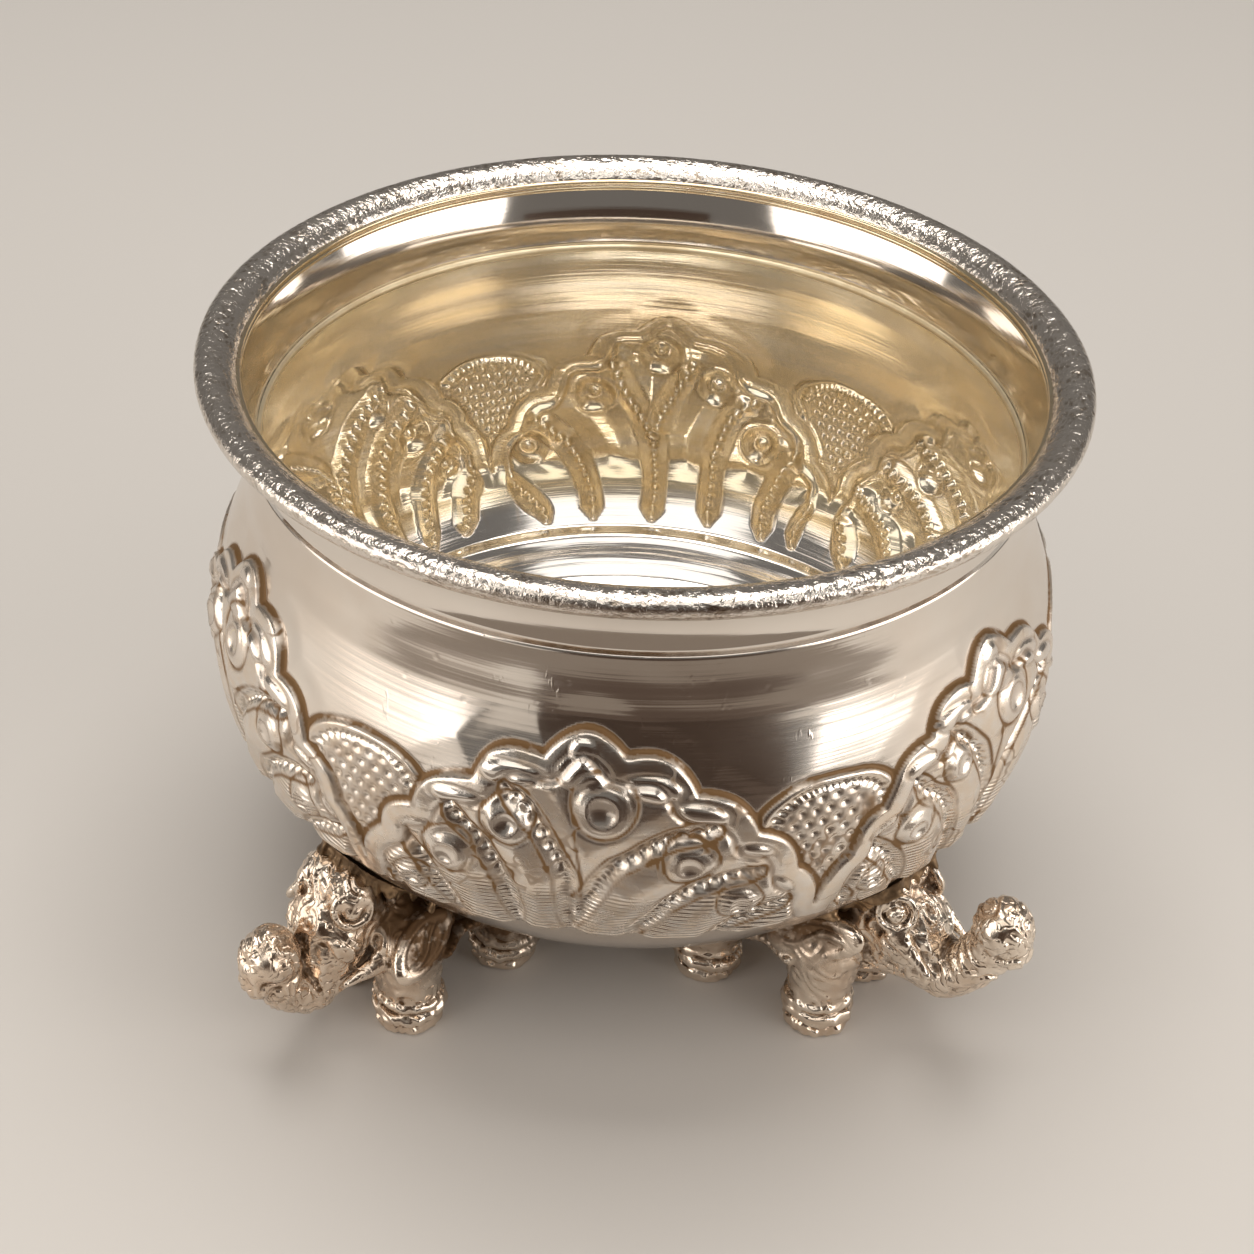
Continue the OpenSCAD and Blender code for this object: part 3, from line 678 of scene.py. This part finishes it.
def elephant_form(trunk, ear, tusk, eye, seed):
    cast = Casting((-8.9, -7.6, -0.6), (19.3, 7.6, 15.9))
    front, rear = STRIDE / 2, -STRIDE / 2
    shoulder = SEAT_H - BODY_R * 0.95
    cast.cone((rear, 0, 5.0), (front, 0, shoulder), 3.15, 3.4, 0.5)
    cast.cone((front, 0, shoulder), HEAD, 3.4, 2.9, 0.8)
    for side in (-1, 1):
        cast.cone((front, side * TRACK / 2, shoulder - 1.4), (front, 0, shoulder), 2.3, 2.6, 0.8)
        cast.cone((rear, side * TRACK / 2, 4.2), (rear, 0, 5.0), 2.3, 2.6, 0.8)
        elephant_leg(cast, front, side * TRACK / 2, shoulder - 1.2, 2.75)
        elephant_leg(cast, rear, side * TRACK / 2, 4.6, 2.5)
    # Trunk with its wrinkles, and the curled tip
    line = smooth_line([(p[0], 0, p[1]) for p in trunk], 12)
    run = np.concatenate([[0], np.cumsum(np.linalg.norm(np.diff(line, axis=0), axis=1))])
    radius = np.interp(run / run[-1], [0, 0.3, 0.6, 1], [2.6, 2.2, 1.75, 1.65])
    radius = radius + 0.06 * np.cos(2 * np.pi * run / 0.9) * smooth_step(2.0, 4.0, run)
    for i in range(len(line) - 1):
        cast.cone(line[i], line[i + 1], radius[i], radius[i + 1], 0.14 if i > 10 else 0.7)
    end = line[-1]
    cast.ball(end + [0.1, 0, 0.1], 2.1, 0.25)
    cast.cone(end + [0.6, 0, -0.3], end + [1.0, 0, -1.4], 1.8, 1.4, 0.08)
    # Jaw, brows, cheeks, eyes and tusks
    cast.cone((7.4, 0, 8.4), (trunk[1][0], 0, trunk[1][1] - 0.6), 2.7, 2.2, 0.5)
    cast.cone((5.6, 0, 6.2), (trunk[2][0] - 1.6, 0, trunk[2][1] + 0.6), 2.5, 2.0, 0.5)
    for side in (-1, 1):
        cast.ball((7.9, side * 1.35, 12.3), 1.75, 0.4)
        cast.ball((9.3, side * 1.9, 9.2), 1.3, 0.4)
    # Uneven cast skin, crinkled by the chasing
    x, y, z = np.meshgrid(*cast.axes, indexing="ij", sparse=True)
    worms = np.sin(8.0 * waves(seed + 30, 10, 2.0, 3.4, x, y, z))
    chased = 0.7 + 0.4 * smooth_step(6.0, 10.0, x)
    skin = 0.05 * waves(seed, 9, 1.3, 2.6, x, y, z) + 0.075 * chased * worms
    skin = skin + 0.05 * np.abs(waves(seed + 20, 12, 0.9, 1.6, x, y, z)) - 0.02
    cast.d += skin.astype(np.float32)
    # Ears, eyes and tusks
    for side in (-1, 1):
        elephant_ear(cast, side, ear)
        middle = np.array(eye) * [1, side, 1]
        out = np.array([0.5, side * 1.0, 0.3])
        cast.ball(middle - 0.15 * out, 0.8, 0.08)
        cast.ring(middle - 0.05 * out, out, 1.25, 0.3, 0.1)
        a, b = (np.array(point) * [1, side, 1] for point in tusk)
        cast.cone(a, b, 0.9, 0.28, 0.1)
        cast.cone(a - (b - a) * 0.25 + [0, 0, 0.7], a + (b - a) * 0.3 + [0, 0, 0.75], 0.5, 0.36, 0.1)
    # Beaded headband, shoulder strap and girth
    for turn in np.linspace(-80, 80, 15):
        c, s = math.cos(math.radians(turn)), math.sin(math.radians(turn))
        cast.ball((6.4 - 0.6 * abs(s), 3.1 * s, 10.9 + 2.75 * c), 0.36, 0.06)
    for side in (-1, 1):
        strap = smooth_line([(3.2, side * 5.6, 6.6), (0.4, side * 4.1, 6.0), (-2.6, side * 4.1, 4.9),
                             (-5.0, side * 5.4, 4.4)], 8)
        for a, b in zip(strap, strap[1:]):
            cast.cone(a, b, 0.5, 0.5, 0.16)
        for point in strap[::2]:
            cast.ball(point + [0, side * 0.42, 0.18], 0.27, 0.06)
        girth = smooth_line([(1.6, side * 2.0, 10.3), (1.3, side * 3.5, 8.2), (0.6, side * 3.6, 5.6)], 8)
        for point in girth[::2]:
            cast.ball(point, 0.4, 0.08)
    # Tail
    cast.cone((-7.3, 0, 5.6), (-8.1, 0, 2.6), 0.55, 0.45, 0.3)
    cast.ball((-8.0, 0, 2.3), 0.65, 0.2)
    cast.d += (0.025 * waves(seed + 40, 12, 0.7, 1.2, x, y, z)).astype(np.float32)
    cast.d = np.maximum(cast.d, (0.02 - z).astype(np.float32))
    return cast


def elephant(name, solder_name, angle, slide, twist, trunk, ear, tusk, eye, bowl_shade_strength, seed):
    cast = elephant_form(trunk, ear, tusk, eye, seed)
    x, y, z = np.meshgrid(*cast.axes, indexing="ij", sparse=True)
    c, s = math.cos(math.radians(twist)), math.sin(math.radians(twist))
    gx, gy = STAND_R + slide + c * x - s * y, s * x + c * y
    to_bowl = bowl_distance(np.hypot(gx, gy), z).astype(np.float32)
    whole = cast.d
    # Solder run into the corner between the casting and the bowl
    flow = 0.18 * waves(seed + 50, 8, 1.0, 2.6, x, y, z)
    near = np.hypot(x - 5.4, y) - 5.2 + 1.5 * flow
    fillet = smooth_min(whole, to_bowl + 0.02, 1.5) + flow.astype(np.float32) * 0.35
    fillet = np.maximum(np.maximum(fillet, 0.03 - to_bowl), np.maximum(to_bowl - 0.8 + 2.0 * flow, near))
    fillet = fillet.astype(np.float32)
    cast.d = np.maximum(whole, 0.05 - to_bowl).astype(np.float32)
    made = []
    for piece_name, field in ((name, cast.d), (solder_name, fillet)):
        cast.d = field
        points, quads, cavity = cast.surface()
        px = STAND_R + slide + c * points[:, 0] - s * points[:, 1]
        py = s * points[:, 0] + c * points[:, 1]
        ca, sa = math.cos(math.radians(angle)), math.sin(math.radians(angle))
        world = np.stack([ca * px - sa * py, sa * px + ca * py, points[:, 2]], axis=-1)
        # Painted shade under the bowl: brown and darker nearer the bowl, kept off the front of the head
        bowl_shade = bowl_shade_strength * np.clip(1 - bowl_distance(np.hypot(px, py), points[:, 2]) / BOWL_SHADE_REACH, 0, 1)
        bowl_shade *= smooth_step(8.8, 5.8, points[:, 0])
        made.append(mesh_object(piece_name, world, [quads[:, ::-1]], {"cavity": np.clip(-cavity / 0.15, 0, 1),
                                                                    "ridge": np.clip(cavity / 0.22, 0, 1),
                                                                    "bowl_shade": bowl_shade,
                                                                    "chased": smooth_step(6.5, 10.0, points[:, 0])}))
    return made


# ---------------------------------------------------------------- materials

class Shader:
    """Node material built around one Principled shader."""

    def __init__(self, name):
        self.material = bpy.data.materials.new(name)
        self.material.use_nodes = True
        self.tree = self.material.node_tree
        self.bsdf = self.tree.nodes["Principled BSDF"]
        self.place = self.node("ShaderNodeTexCoord").outputs["Object"]

    def node(self, kind, **settings):
        node = self.tree.nodes.new(kind)
        for key, value in settings.items():
            setattr(node, key, value)
        return node

    def put(self, socket, value):
        if isinstance(value, bpy.types.NodeSocket):
            self.tree.links.new(value, socket)
        else:
            socket.default_value = value

    def set(self, name, value):
        self.put(self.bsdf.inputs[name], value)

    def stretched(self, scale):
        mapping = self.node("ShaderNodeMapping")
        self.put(mapping.inputs["Vector"], self.place)
        mapping.inputs["Scale"].default_value = scale
        return mapping.outputs["Vector"]

    def noise(self, scale, detail=4.0, rough=0.55, vector=None):
        node = self.node("ShaderNodeTexNoise")
        self.put(node.inputs["Vector"], vector or self.place)
        node.inputs["Scale"].default_value = scale
        node.inputs["Detail"].default_value = detail
        node.inputs["Roughness"].default_value = rough
        return node.outputs["Fac"]

    def cells(self, scale):
        node = self.node("ShaderNodeTexVoronoi", feature="F1")
        self.put(node.inputs["Vector"], self.place)
        node.inputs["Scale"].default_value = scale
        return node.outputs["Distance"]

    def bands(self, scale):
        """Wavering level lines."""
        node = self.node("ShaderNodeTexWave", wave_type="BANDS", bands_direction="Z", wave_profile="SIN")
        self.put(node.inputs["Vector"], self.place)
        for key, value in (("Scale", scale), ("Distortion", 4.0), ("Detail", 2.0), ("Detail Scale", 0.25)):
            node.inputs[key].default_value = value
        return node.outputs["Fac"]

    def attribute(self, name):
        return self.node("ShaderNodeAttribute", attribute_name=name).outputs["Fac"]

    def math(self, operation, a, b=0.0, clamp=False):
        node = self.node("ShaderNodeMath", operation=operation, use_clamp=clamp)
        self.put(node.inputs[0], a)
        self.put(node.inputs[1], b)
        return node.outputs[0]

    def span(self, value, low, high, to_low=0.0, to_high=1.0):
        node = self.node("ShaderNodeMapRange", interpolation_type="SMOOTHSTEP")
        for key, v in zip(("Value", "From Min", "From Max", "To Min", "To Max"), (value, low, high, to_low, to_high)):
            self.put(node.inputs[key], v)
        return node.outputs["Result"]

    def mix(self, factor, a, b):
        node = self.node("ShaderNodeMix", data_type="RGBA")
        self.put(node.inputs["Factor"], factor)
        for socket, colour in ((node.inputs[6], a), (node.inputs[7], b)):
            self.put(socket, colour if isinstance(colour, bpy.types.NodeSocket) else (*colour, 1.0))
        return node.outputs[2]

    def bump(self, height, depth, below=None):
        node = self.node("ShaderNodeBump")
        node.inputs["Strength"].default_value = 1.0
        node.inputs["Distance"].default_value = depth * MM
        self.put(node.inputs["Height"], height)
        if below is not None:
            self.put(node.inputs["Normal"], below)
        return node.outputs["Normal"]


SILVER = (0.85, 0.79, 0.72)
SILVER_DULL = (0.84, 0.71, 0.57)
SILVER_WARM = (0.79, 0.70, 0.61)
GILT = (0.97, 0.88, 0.69)
GILT_DEEP = (0.93, 0.79, 0.55)
BROWN = (0.22, 0.12, 0.045)
UMBER = (0.12, 0.075, 0.04)


def silver_outside():
    m = Shader("silver_outside")
    tarnish, dull, hatch, bare_and_painted_dark_band = (m.attribute(name) for name in ("tarnish", "dull", "hatch", "bare_and_painted_dark_band"))
    cloud = m.noise(70.0, 5.0, 0.6)
    fine = m.noise(900.0, 3.0, 0.6)
    spots = m.span(m.noise(420.0, 2.0, 0.5), 0.62, 0.74)
    clean = m.mix(m.span(cloud, 0.35, 0.7), SILVER, SILVER_WARM)
    worked = m.mix(m.span(fine, 0.3, 0.7), SILVER_DULL, SILVER)
    base = m.mix(m.math("MULTIPLY", dull, 0.75), clean, worked)
    # Painted shade: the underside band darkened toward brown-grey, standing in for the shadowed floor it reflects
    base = m.mix(m.math("MULTIPLY", bare_and_painted_dark_band, 0.6), base, (0.46, 0.38, 0.31))
    stain = m.math("MULTIPLY", tarnish, m.span(m.noise(260.0, 5.0, 0.65), 0.3, 0.52, 0.4, 1.3), True)
    thread = m.math("ABSOLUTE", m.math("SUBTRACT", m.noise(330.0, 2.0, 0.5), 0.5))
    thread = m.math("MULTIPLY", m.span(thread, 0.03, 0.008), m.span(m.noise(150.0, 2.0, 0.5), 0.5, 0.58))
    specks = m.math("MULTIPLY", m.math("ADD", spots, thread), m.math("MULTIPLY", dull, 0.6))
    stain = m.math("ADD", stain, specks, True)
    m.set("Base Color", m.mix(stain, base, BROWN))
    m.set("Metallic", m.span(stain, 0.0, 1.0, 1.0, 0.35))
    rough = m.math("ADD", m.span(cloud, 0.3, 0.75, 0.14, 0.24), m.math("MULTIPLY", dull, 0.07))
    m.set("Roughness", m.math("ADD", rough, m.math("MULTIPLY", stain, 0.34), True))
    spin = m.noise(1.0, 2.0, 0.5, m.stretched((12, 12, 2600)))
    scratch = m.noise(1.0, 3.0, 0.7, m.stretched((900, 120, 300)))
    pits = m.span(m.cells(520.0), 0.0, 0.16, 0.0, 1.0)
    lines = m.bands(950.0)
    normal = m.bump(spin, 0.016)
    normal = m.bump(m.span(scratch, 0.62, 0.72), 0.008, normal)
    normal = m.bump(pits, 0.008, normal)
    normal = m.bump(m.math("MULTIPLY", lines, hatch), 0.05, normal)
    normal = m.bump(m.math("MULTIPLY", fine, dull), 0.03, normal)
    m.set("Normal", normal)
    return m.material


def gilt_inside():
    m = Shader("gilt_inside")
    tarnish, dull, bare_and_painted_dark_band = m.attribute("tarnish"), m.attribute("dull"), m.attribute("bare_and_painted_dark_band")
    cloud = m.noise(60.0, 5.0, 0.6)
    fine = m.noise(900.0, 3.0, 0.6)
    streak = m.noise(1.0, 3.0, 0.6, m.stretched((26, 26, 900)))
    base = m.mix(m.span(cloud, 0.35, 0.68), GILT, GILT_DEEP)
    base = m.mix(m.math("MULTIPLY", m.span(streak, 0.4, 0.7), 0.4), base, SILVER)
    base = m.mix(bare_and_painted_dark_band, base, (0.88, 0.84, 0.79))
    stain = m.math("MULTIPLY", m.math("MULTIPLY", tarnish, m.span(m.noise(300.0, 4.0, 0.6), 0.38, 0.66)), 0.7, True)
    m.set("Base Color", m.mix(stain, base, (0.42, 0.28, 0.12)))
    m.set("Metallic", m.span(bare_and_painted_dark_band, 0.0, 1.0, 0.88, 1.0))
    rough = m.math("SUBTRACT", m.span(cloud, 0.3, 0.75, 0.14, 0.2), m.math("MULTIPLY", bare_and_painted_dark_band, 0.05))
    m.set("Roughness", m.math("ADD", rough, m.math("MULTIPLY", stain, 0.2), True))
    brush = m.noise(1.0, 3.0, 0.6, m.stretched((30, 30, 2000)))
    normal = m.bump(brush, 0.035)
    normal = m.bump(m.math("MULTIPLY", fine, dull), 0.02, normal)
    m.set("Normal", normal)
    return m.material


def silver_collar():
    m = Shader("silver_collar")
    hammer, pits = m.attribute("hammer"), m.attribute("tarnish")
    cloud = m.noise(80.0, 5.0, 0.6)
    base = m.mix(m.span(cloud, 0.35, 0.7), SILVER, (0.80, 0.73, 0.655))
    patchy = m.span(m.noise(240.0, 4.0, 0.6), 0.35, 0.65, 0.2, 0.75)
    stain = m.math("MULTIPLY", m.math("MULTIPLY", pits, hammer), patchy)
    m.set("Base Color", m.mix(stain, base, (0.36, 0.27, 0.18)))
    m.set("Metallic", 1.0)
    m.set("Roughness", m.math("ADD", m.span(cloud, 0.3, 0.75, 0.07, 0.13), m.math("MULTIPLY", hammer, 0.12)))
    spin = m.noise(1.0, 2.0, 0.5, m.stretched((14, 14, 2400)))
    stipple = m.noise(1500.0, 3.0, 0.6)
    normal = m.bump(spin, 0.006)
    normal = m.bump(m.math("MULTIPLY", stipple, hammer), 0.16, normal)
    m.set("Normal", normal)
    return m.material


def cast_metal():
    m = Shader("cast_metal")
    cavity, ridge, bowl_shade = m.attribute("cavity"), m.attribute("ridge"), m.attribute("bowl_shade")
    cloud = m.noise(140.0, 5.0, 0.6)
    grain = m.noise(700.0, 4.0, 0.6)
    base = m.mix(m.span(cloud, 0.38, 0.62), (0.86, 0.75, 0.63), (0.79, 0.63, 0.49))
    base = m.mix(m.math("MULTIPLY", ridge, 0.6), base, (0.94, 0.86, 0.75))
    # Darker brown from tarnish in the hollows and random patches, plus painted shade nearer the bowl
    dirt_and_bowl_shade = m.math("ADD", m.span(cavity, 0.2, 0.8), m.span(bowl_shade, 0.2, 0.6, 0.0, 1.3))
    dirt_and_bowl_shade = m.math("ADD", dirt_and_bowl_shade, m.span(cloud, 0.54, 0.72, 0.0, 0.25))
    dirt_and_bowl_shade = m.math("MULTIPLY", dirt_and_bowl_shade, m.span(grain, 0.3, 0.6, 0.45, 1.0), True)
    m.set("Base Color", m.mix(dirt_and_bowl_shade, base, (0.13, 0.07, 0.03)))
    m.set("Metallic", m.span(dirt_and_bowl_shade, 0.0, 1.0, 1.0, 0.6))
    m.set("Roughness", m.math("ADD", m.span(grain, 0.3, 0.7, 0.14, 0.26), m.math("MULTIPLY", dirt_and_bowl_shade, 0.25)))
    crease = m.math("ABSOLUTE", m.math("SUBTRACT", m.noise(1000.0, 1.0, 0.5), 0.5))
    crease = m.math("MULTIPLY", m.span(crease, 0.0, 0.08), m.span(m.attribute("chased"), 0.0, 1.0, 0.2, 1.0))
    normal = m.bump(crease, 0.045)
    normal = m.bump(grain, 0.06, normal)
    m.set("Normal", normal)
    return m.material


def solder_metal():
    m = Shader("solder_metal")
    cloud = m.noise(300.0, 5.0, 0.6)
    m.set("Base Color", m.mix(m.span(cloud, 0.35, 0.65), (0.42, 0.28, 0.16), UMBER))
    m.set("Metallic", 0.75)
    m.set("Roughness", m.span(cloud, 0.3, 0.7, 0.32, 0.55))
    m.set("Normal", m.bump(m.noise(800.0, 4.0, 0.6), 0.1))
    return m.material


def wire_metal(name, bright, deep, rough):
    m = Shader(name)
    cloud = m.noise(220.0, 4.0, 0.6)
    m.set("Base Color", m.mix(m.span(cloud, 0.35, 0.68), bright, deep))
    m.set("Metallic", 1.0)
    m.set("Roughness", m.span(cloud, 0.3, 0.7, rough, rough + 0.15))
    m.set("Normal", m.bump(m.noise(900.0, 3.0, 0.6), 0.03))
    return m.material


def dress(piece, *materials):
    if len(piece.data.materials):
        piece.data.materials.clear()
    for material in materials:
        piece.data.materials.append(material)


# ---------------------------------------------------------------- pieces

outside, inside = silver_outside(), gilt_inside()
rim, cast, solder = silver_collar(), cast_metal(), solder_metal()
gold = wire_metal("gold_wire", (0.88, 0.76, 0.55), (0.72, 0.57, 0.38), 0.14)
drawn = wire_metal("drawn_silver", (0.78, 0.75, 0.71), (0.66, 0.62, 0.57), 0.25)
seam = wire_metal("seam_gilt", (0.84, 0.73, 0.52), (0.66, 0.53, 0.34), 0.38)

shell = bowl_shell()
dress(shell, outside, inside)
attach(shell, "root")
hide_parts("bowl_body")

ring = collar()
dress(ring, rim)
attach(ring, "root")
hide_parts("rim_collar")

# Middle lines of the trunks, out and up from the middle of each elephant
TRUNK_LOW = [(8.2, 9.8), (9.5, 7.2), (10.8, 4.9), (13.0, 6.4), (13.9, 9.5)]
TRUNK_HIGH = [(8.2, 9.9), (10.2, 8.2), (12.4, 6.7), (14.9, 9.1), (16.0, 12.5)]
TRUNK_MEAN = [(8.2, 9.8), (10.0, 7.9), (11.8, 5.9), (14.0, 7.9), (14.9, 11.2)]
# Root and tip of the ears and of the tusks on the near side
EAR_LOW = [(3.2, 5.1, 9.5), (7.1, 5.7, 7.2)]
EAR_LEVEL = [(2.0, 5.2, 7.8), (7.5, 4.7, 10.2)]
TUSK_LOW = [(6.6, 3.5, 6.9), (9.9, 2.9, 6.2)]
TUSK_HIGH = [(9.5, 2.4, 10.2), (12.4, 2.6, 7.9)]
EYE_LOW = (8.7, 2.45, 12.0)
EYE_HIGH = (9.4, 2.5, 12.0)
CORNERS = [
    # corner, angle, further out, twist, trunk, ear, tusk, eye, strength of the painted shade under the bowl
    ("front_left", -135, 1.0, 3, TRUNK_LOW, EAR_LOW, TUSK_LOW, EYE_LOW, 1.0),
    ("front_right", -45, -1.0, 13, TRUNK_HIGH, EAR_LEVEL, TUSK_HIGH, EYE_HIGH, 0.6),
    ("back_right", 45, 0.0, 8, TRUNK_MEAN, EAR_LEVEL, TUSK_HIGH, EYE_HIGH, 0.7),
    ("back_left", 135, 0.0, 8, TRUNK_MEAN, EAR_LOW, TUSK_LOW, EYE_LOW, 0.8),
]
for number, (corner, angle, *shape) in enumerate(CORNERS):
    figure, fillet = elephant("cast_" + corner, "fillet_" + corner, angle, *shape, 70 + number)
    dress(figure, cast)
    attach(figure, "root")
    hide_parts("elephant_" + corner)
    dress(fillet, solder)
    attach(fillet, "root")
    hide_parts("solder_" + corner)

WIRES = {"lip_wire": drawn, "gold_wire_lower": gold, "gold_wire_upper": gold, "seam_solder": seam}
for node, material in WIRES.items():
    dress(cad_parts[node], material)


# ---------------------------------------------------------------- stage

def plate(name, corners, colour, rough):
    """Flat stage sheet from four corners in metres."""
    mesh = bpy.data.meshes.new(name)
    mesh.from_pydata(corners, [], [(0, 1, 2, 3)])
    sheet = bpy.data.objects.new(name, mesh)
    bpy.context.scene.collection.objects.link(sheet)
    m = Shader(name)
    m.set("Base Color", (*colour, 1.0))
    m.set("Roughness", rough)
    mesh.materials.append(m.material)
    return sheet


def card(name, corners, colour):
    """Dark card that only the polished metal sees."""
    sheet = plate(name, corners, colour, 0.8)
    sheet.visible_camera = False
    sheet.visible_diffuse = False
    sheet.visible_shadow = False


DARK = (0.06, 0.036, 0.024)
CARD_Z = 0.0004
plate("floor", [(-3, -3, 0), (3, -3, 0), (3, 3, 0), (-3, 3, 0)], (0.62, 0.59, 0.555), 0.6)
card("flag", [(-0.075, -0.24, 0), (0.2, -0.24, 0), (0.2, -0.24, 0.1), (-0.075, -0.24, 0.1)], DARK)
card("mat", [(-0.07, -0.24, CARD_Z), (0.19, -0.24, CARD_Z), (0.1, -0.1, CARD_Z), (-0.04, -0.1, CARD_Z)], DARK)
card("apron", [(-0.12, -0.1, CARD_Z), (0.12, -0.1, CARD_Z), (0.12, -0.05, CARD_Z), (-0.12, -0.05, CARD_Z)],
     (0.2, 0.17, 0.145))


def lamp(name, place, target, size, power, colour):
    light = bpy.data.lights.new(name, "AREA")
    light.shape = "RECTANGLE"
    light.size, light.size_y = size
    light.energy = power
    light.color = colour
    piece = bpy.data.objects.new(name, light)
    bpy.context.scene.collection.objects.link(piece)
    back = (np.array(place) - np.array(target)) / np.linalg.norm(np.array(place) - np.array(target))
    right = np.cross([0, 0, 1.0], back)
    right = right / np.linalg.norm(right) if np.linalg.norm(right) > 1e-6 else np.array([1.0, 0, 0])
    up = np.cross(back, right)
    piece.matrix_world = Matrix(np.column_stack([np.append(right, 0), np.append(up, 0), np.append(back, 0),
                                                 np.append(place, 1)]).tolist())


lamp("top", (0.0, 0.1, 0.56), (0, 0, 0.02), (0.4, 0.34), 2.1, (1.0, 0.97, 0.93))
lamp("left", (-0.4, -0.18, 0.16), (0, 0, 0.03), (0.5, 0.31), 0.98, (1.0, 0.94, 0.88))
lamp("right", (0.42, -0.13, 0.16), (0, 0, 0.03), (0.46, 0.31), 1.1, (1.0, 0.95, 0.90))
lamp("front", (0.0, -0.3, 0.5), (0, 0, 0.03), (0.6, 0.26), 0.62, (1.0, 0.96, 0.91))

world = bpy.data.worlds.new("studio")
world.use_nodes = True
world.node_tree.nodes["Background"].inputs["Color"].default_value = (0.16, 0.15, 0.14, 1.0)
world.node_tree.nodes["Background"].inputs["Strength"].default_value = 1.0
bpy.context.scene.world = world
bpy.context.scene.view_settings.view_transform = "Standard"


# ---------------------------------------------------------------- camera

CAMERA_PLACE = (0.0, -135.98, 120.24)
CAMERA_DOWN = math.radians(36.19)
CAMERA_ASIDE = math.radians(-0.157)
CAMERA_ROLL = math.radians(2.87)

ahead = np.array([math.sin(CAMERA_ASIDE) * math.cos(CAMERA_DOWN), math.cos(CAMERA_ASIDE) * math.cos(CAMERA_DOWN),
                  -math.sin(CAMERA_DOWN)])
level = np.array([math.cos(CAMERA_ASIDE), -math.sin(CAMERA_ASIDE), 0.0])
above = np.cross(level, ahead)
right = math.cos(CAMERA_ROLL) * level + math.sin(CAMERA_ROLL) * above
top = -math.sin(CAMERA_ROLL) * level + math.cos(CAMERA_ROLL) * above
view = bpy.data.cameras.new("photo_view")
view.sensor_width = 36.0
view.lens = 66.30
view.clip_start = 0.005
camera = bpy.data.objects.new("photo_view", view)
bpy.context.scene.collection.objects.link(camera)
camera.matrix_world = Matrix(np.column_stack([np.append(right, 0), np.append(top, 0), np.append(-ahead, 0),
                                              np.append(np.array(CAMERA_PLACE) * MM, 1)]).tolist())
bpy.context.scene.camera = camera
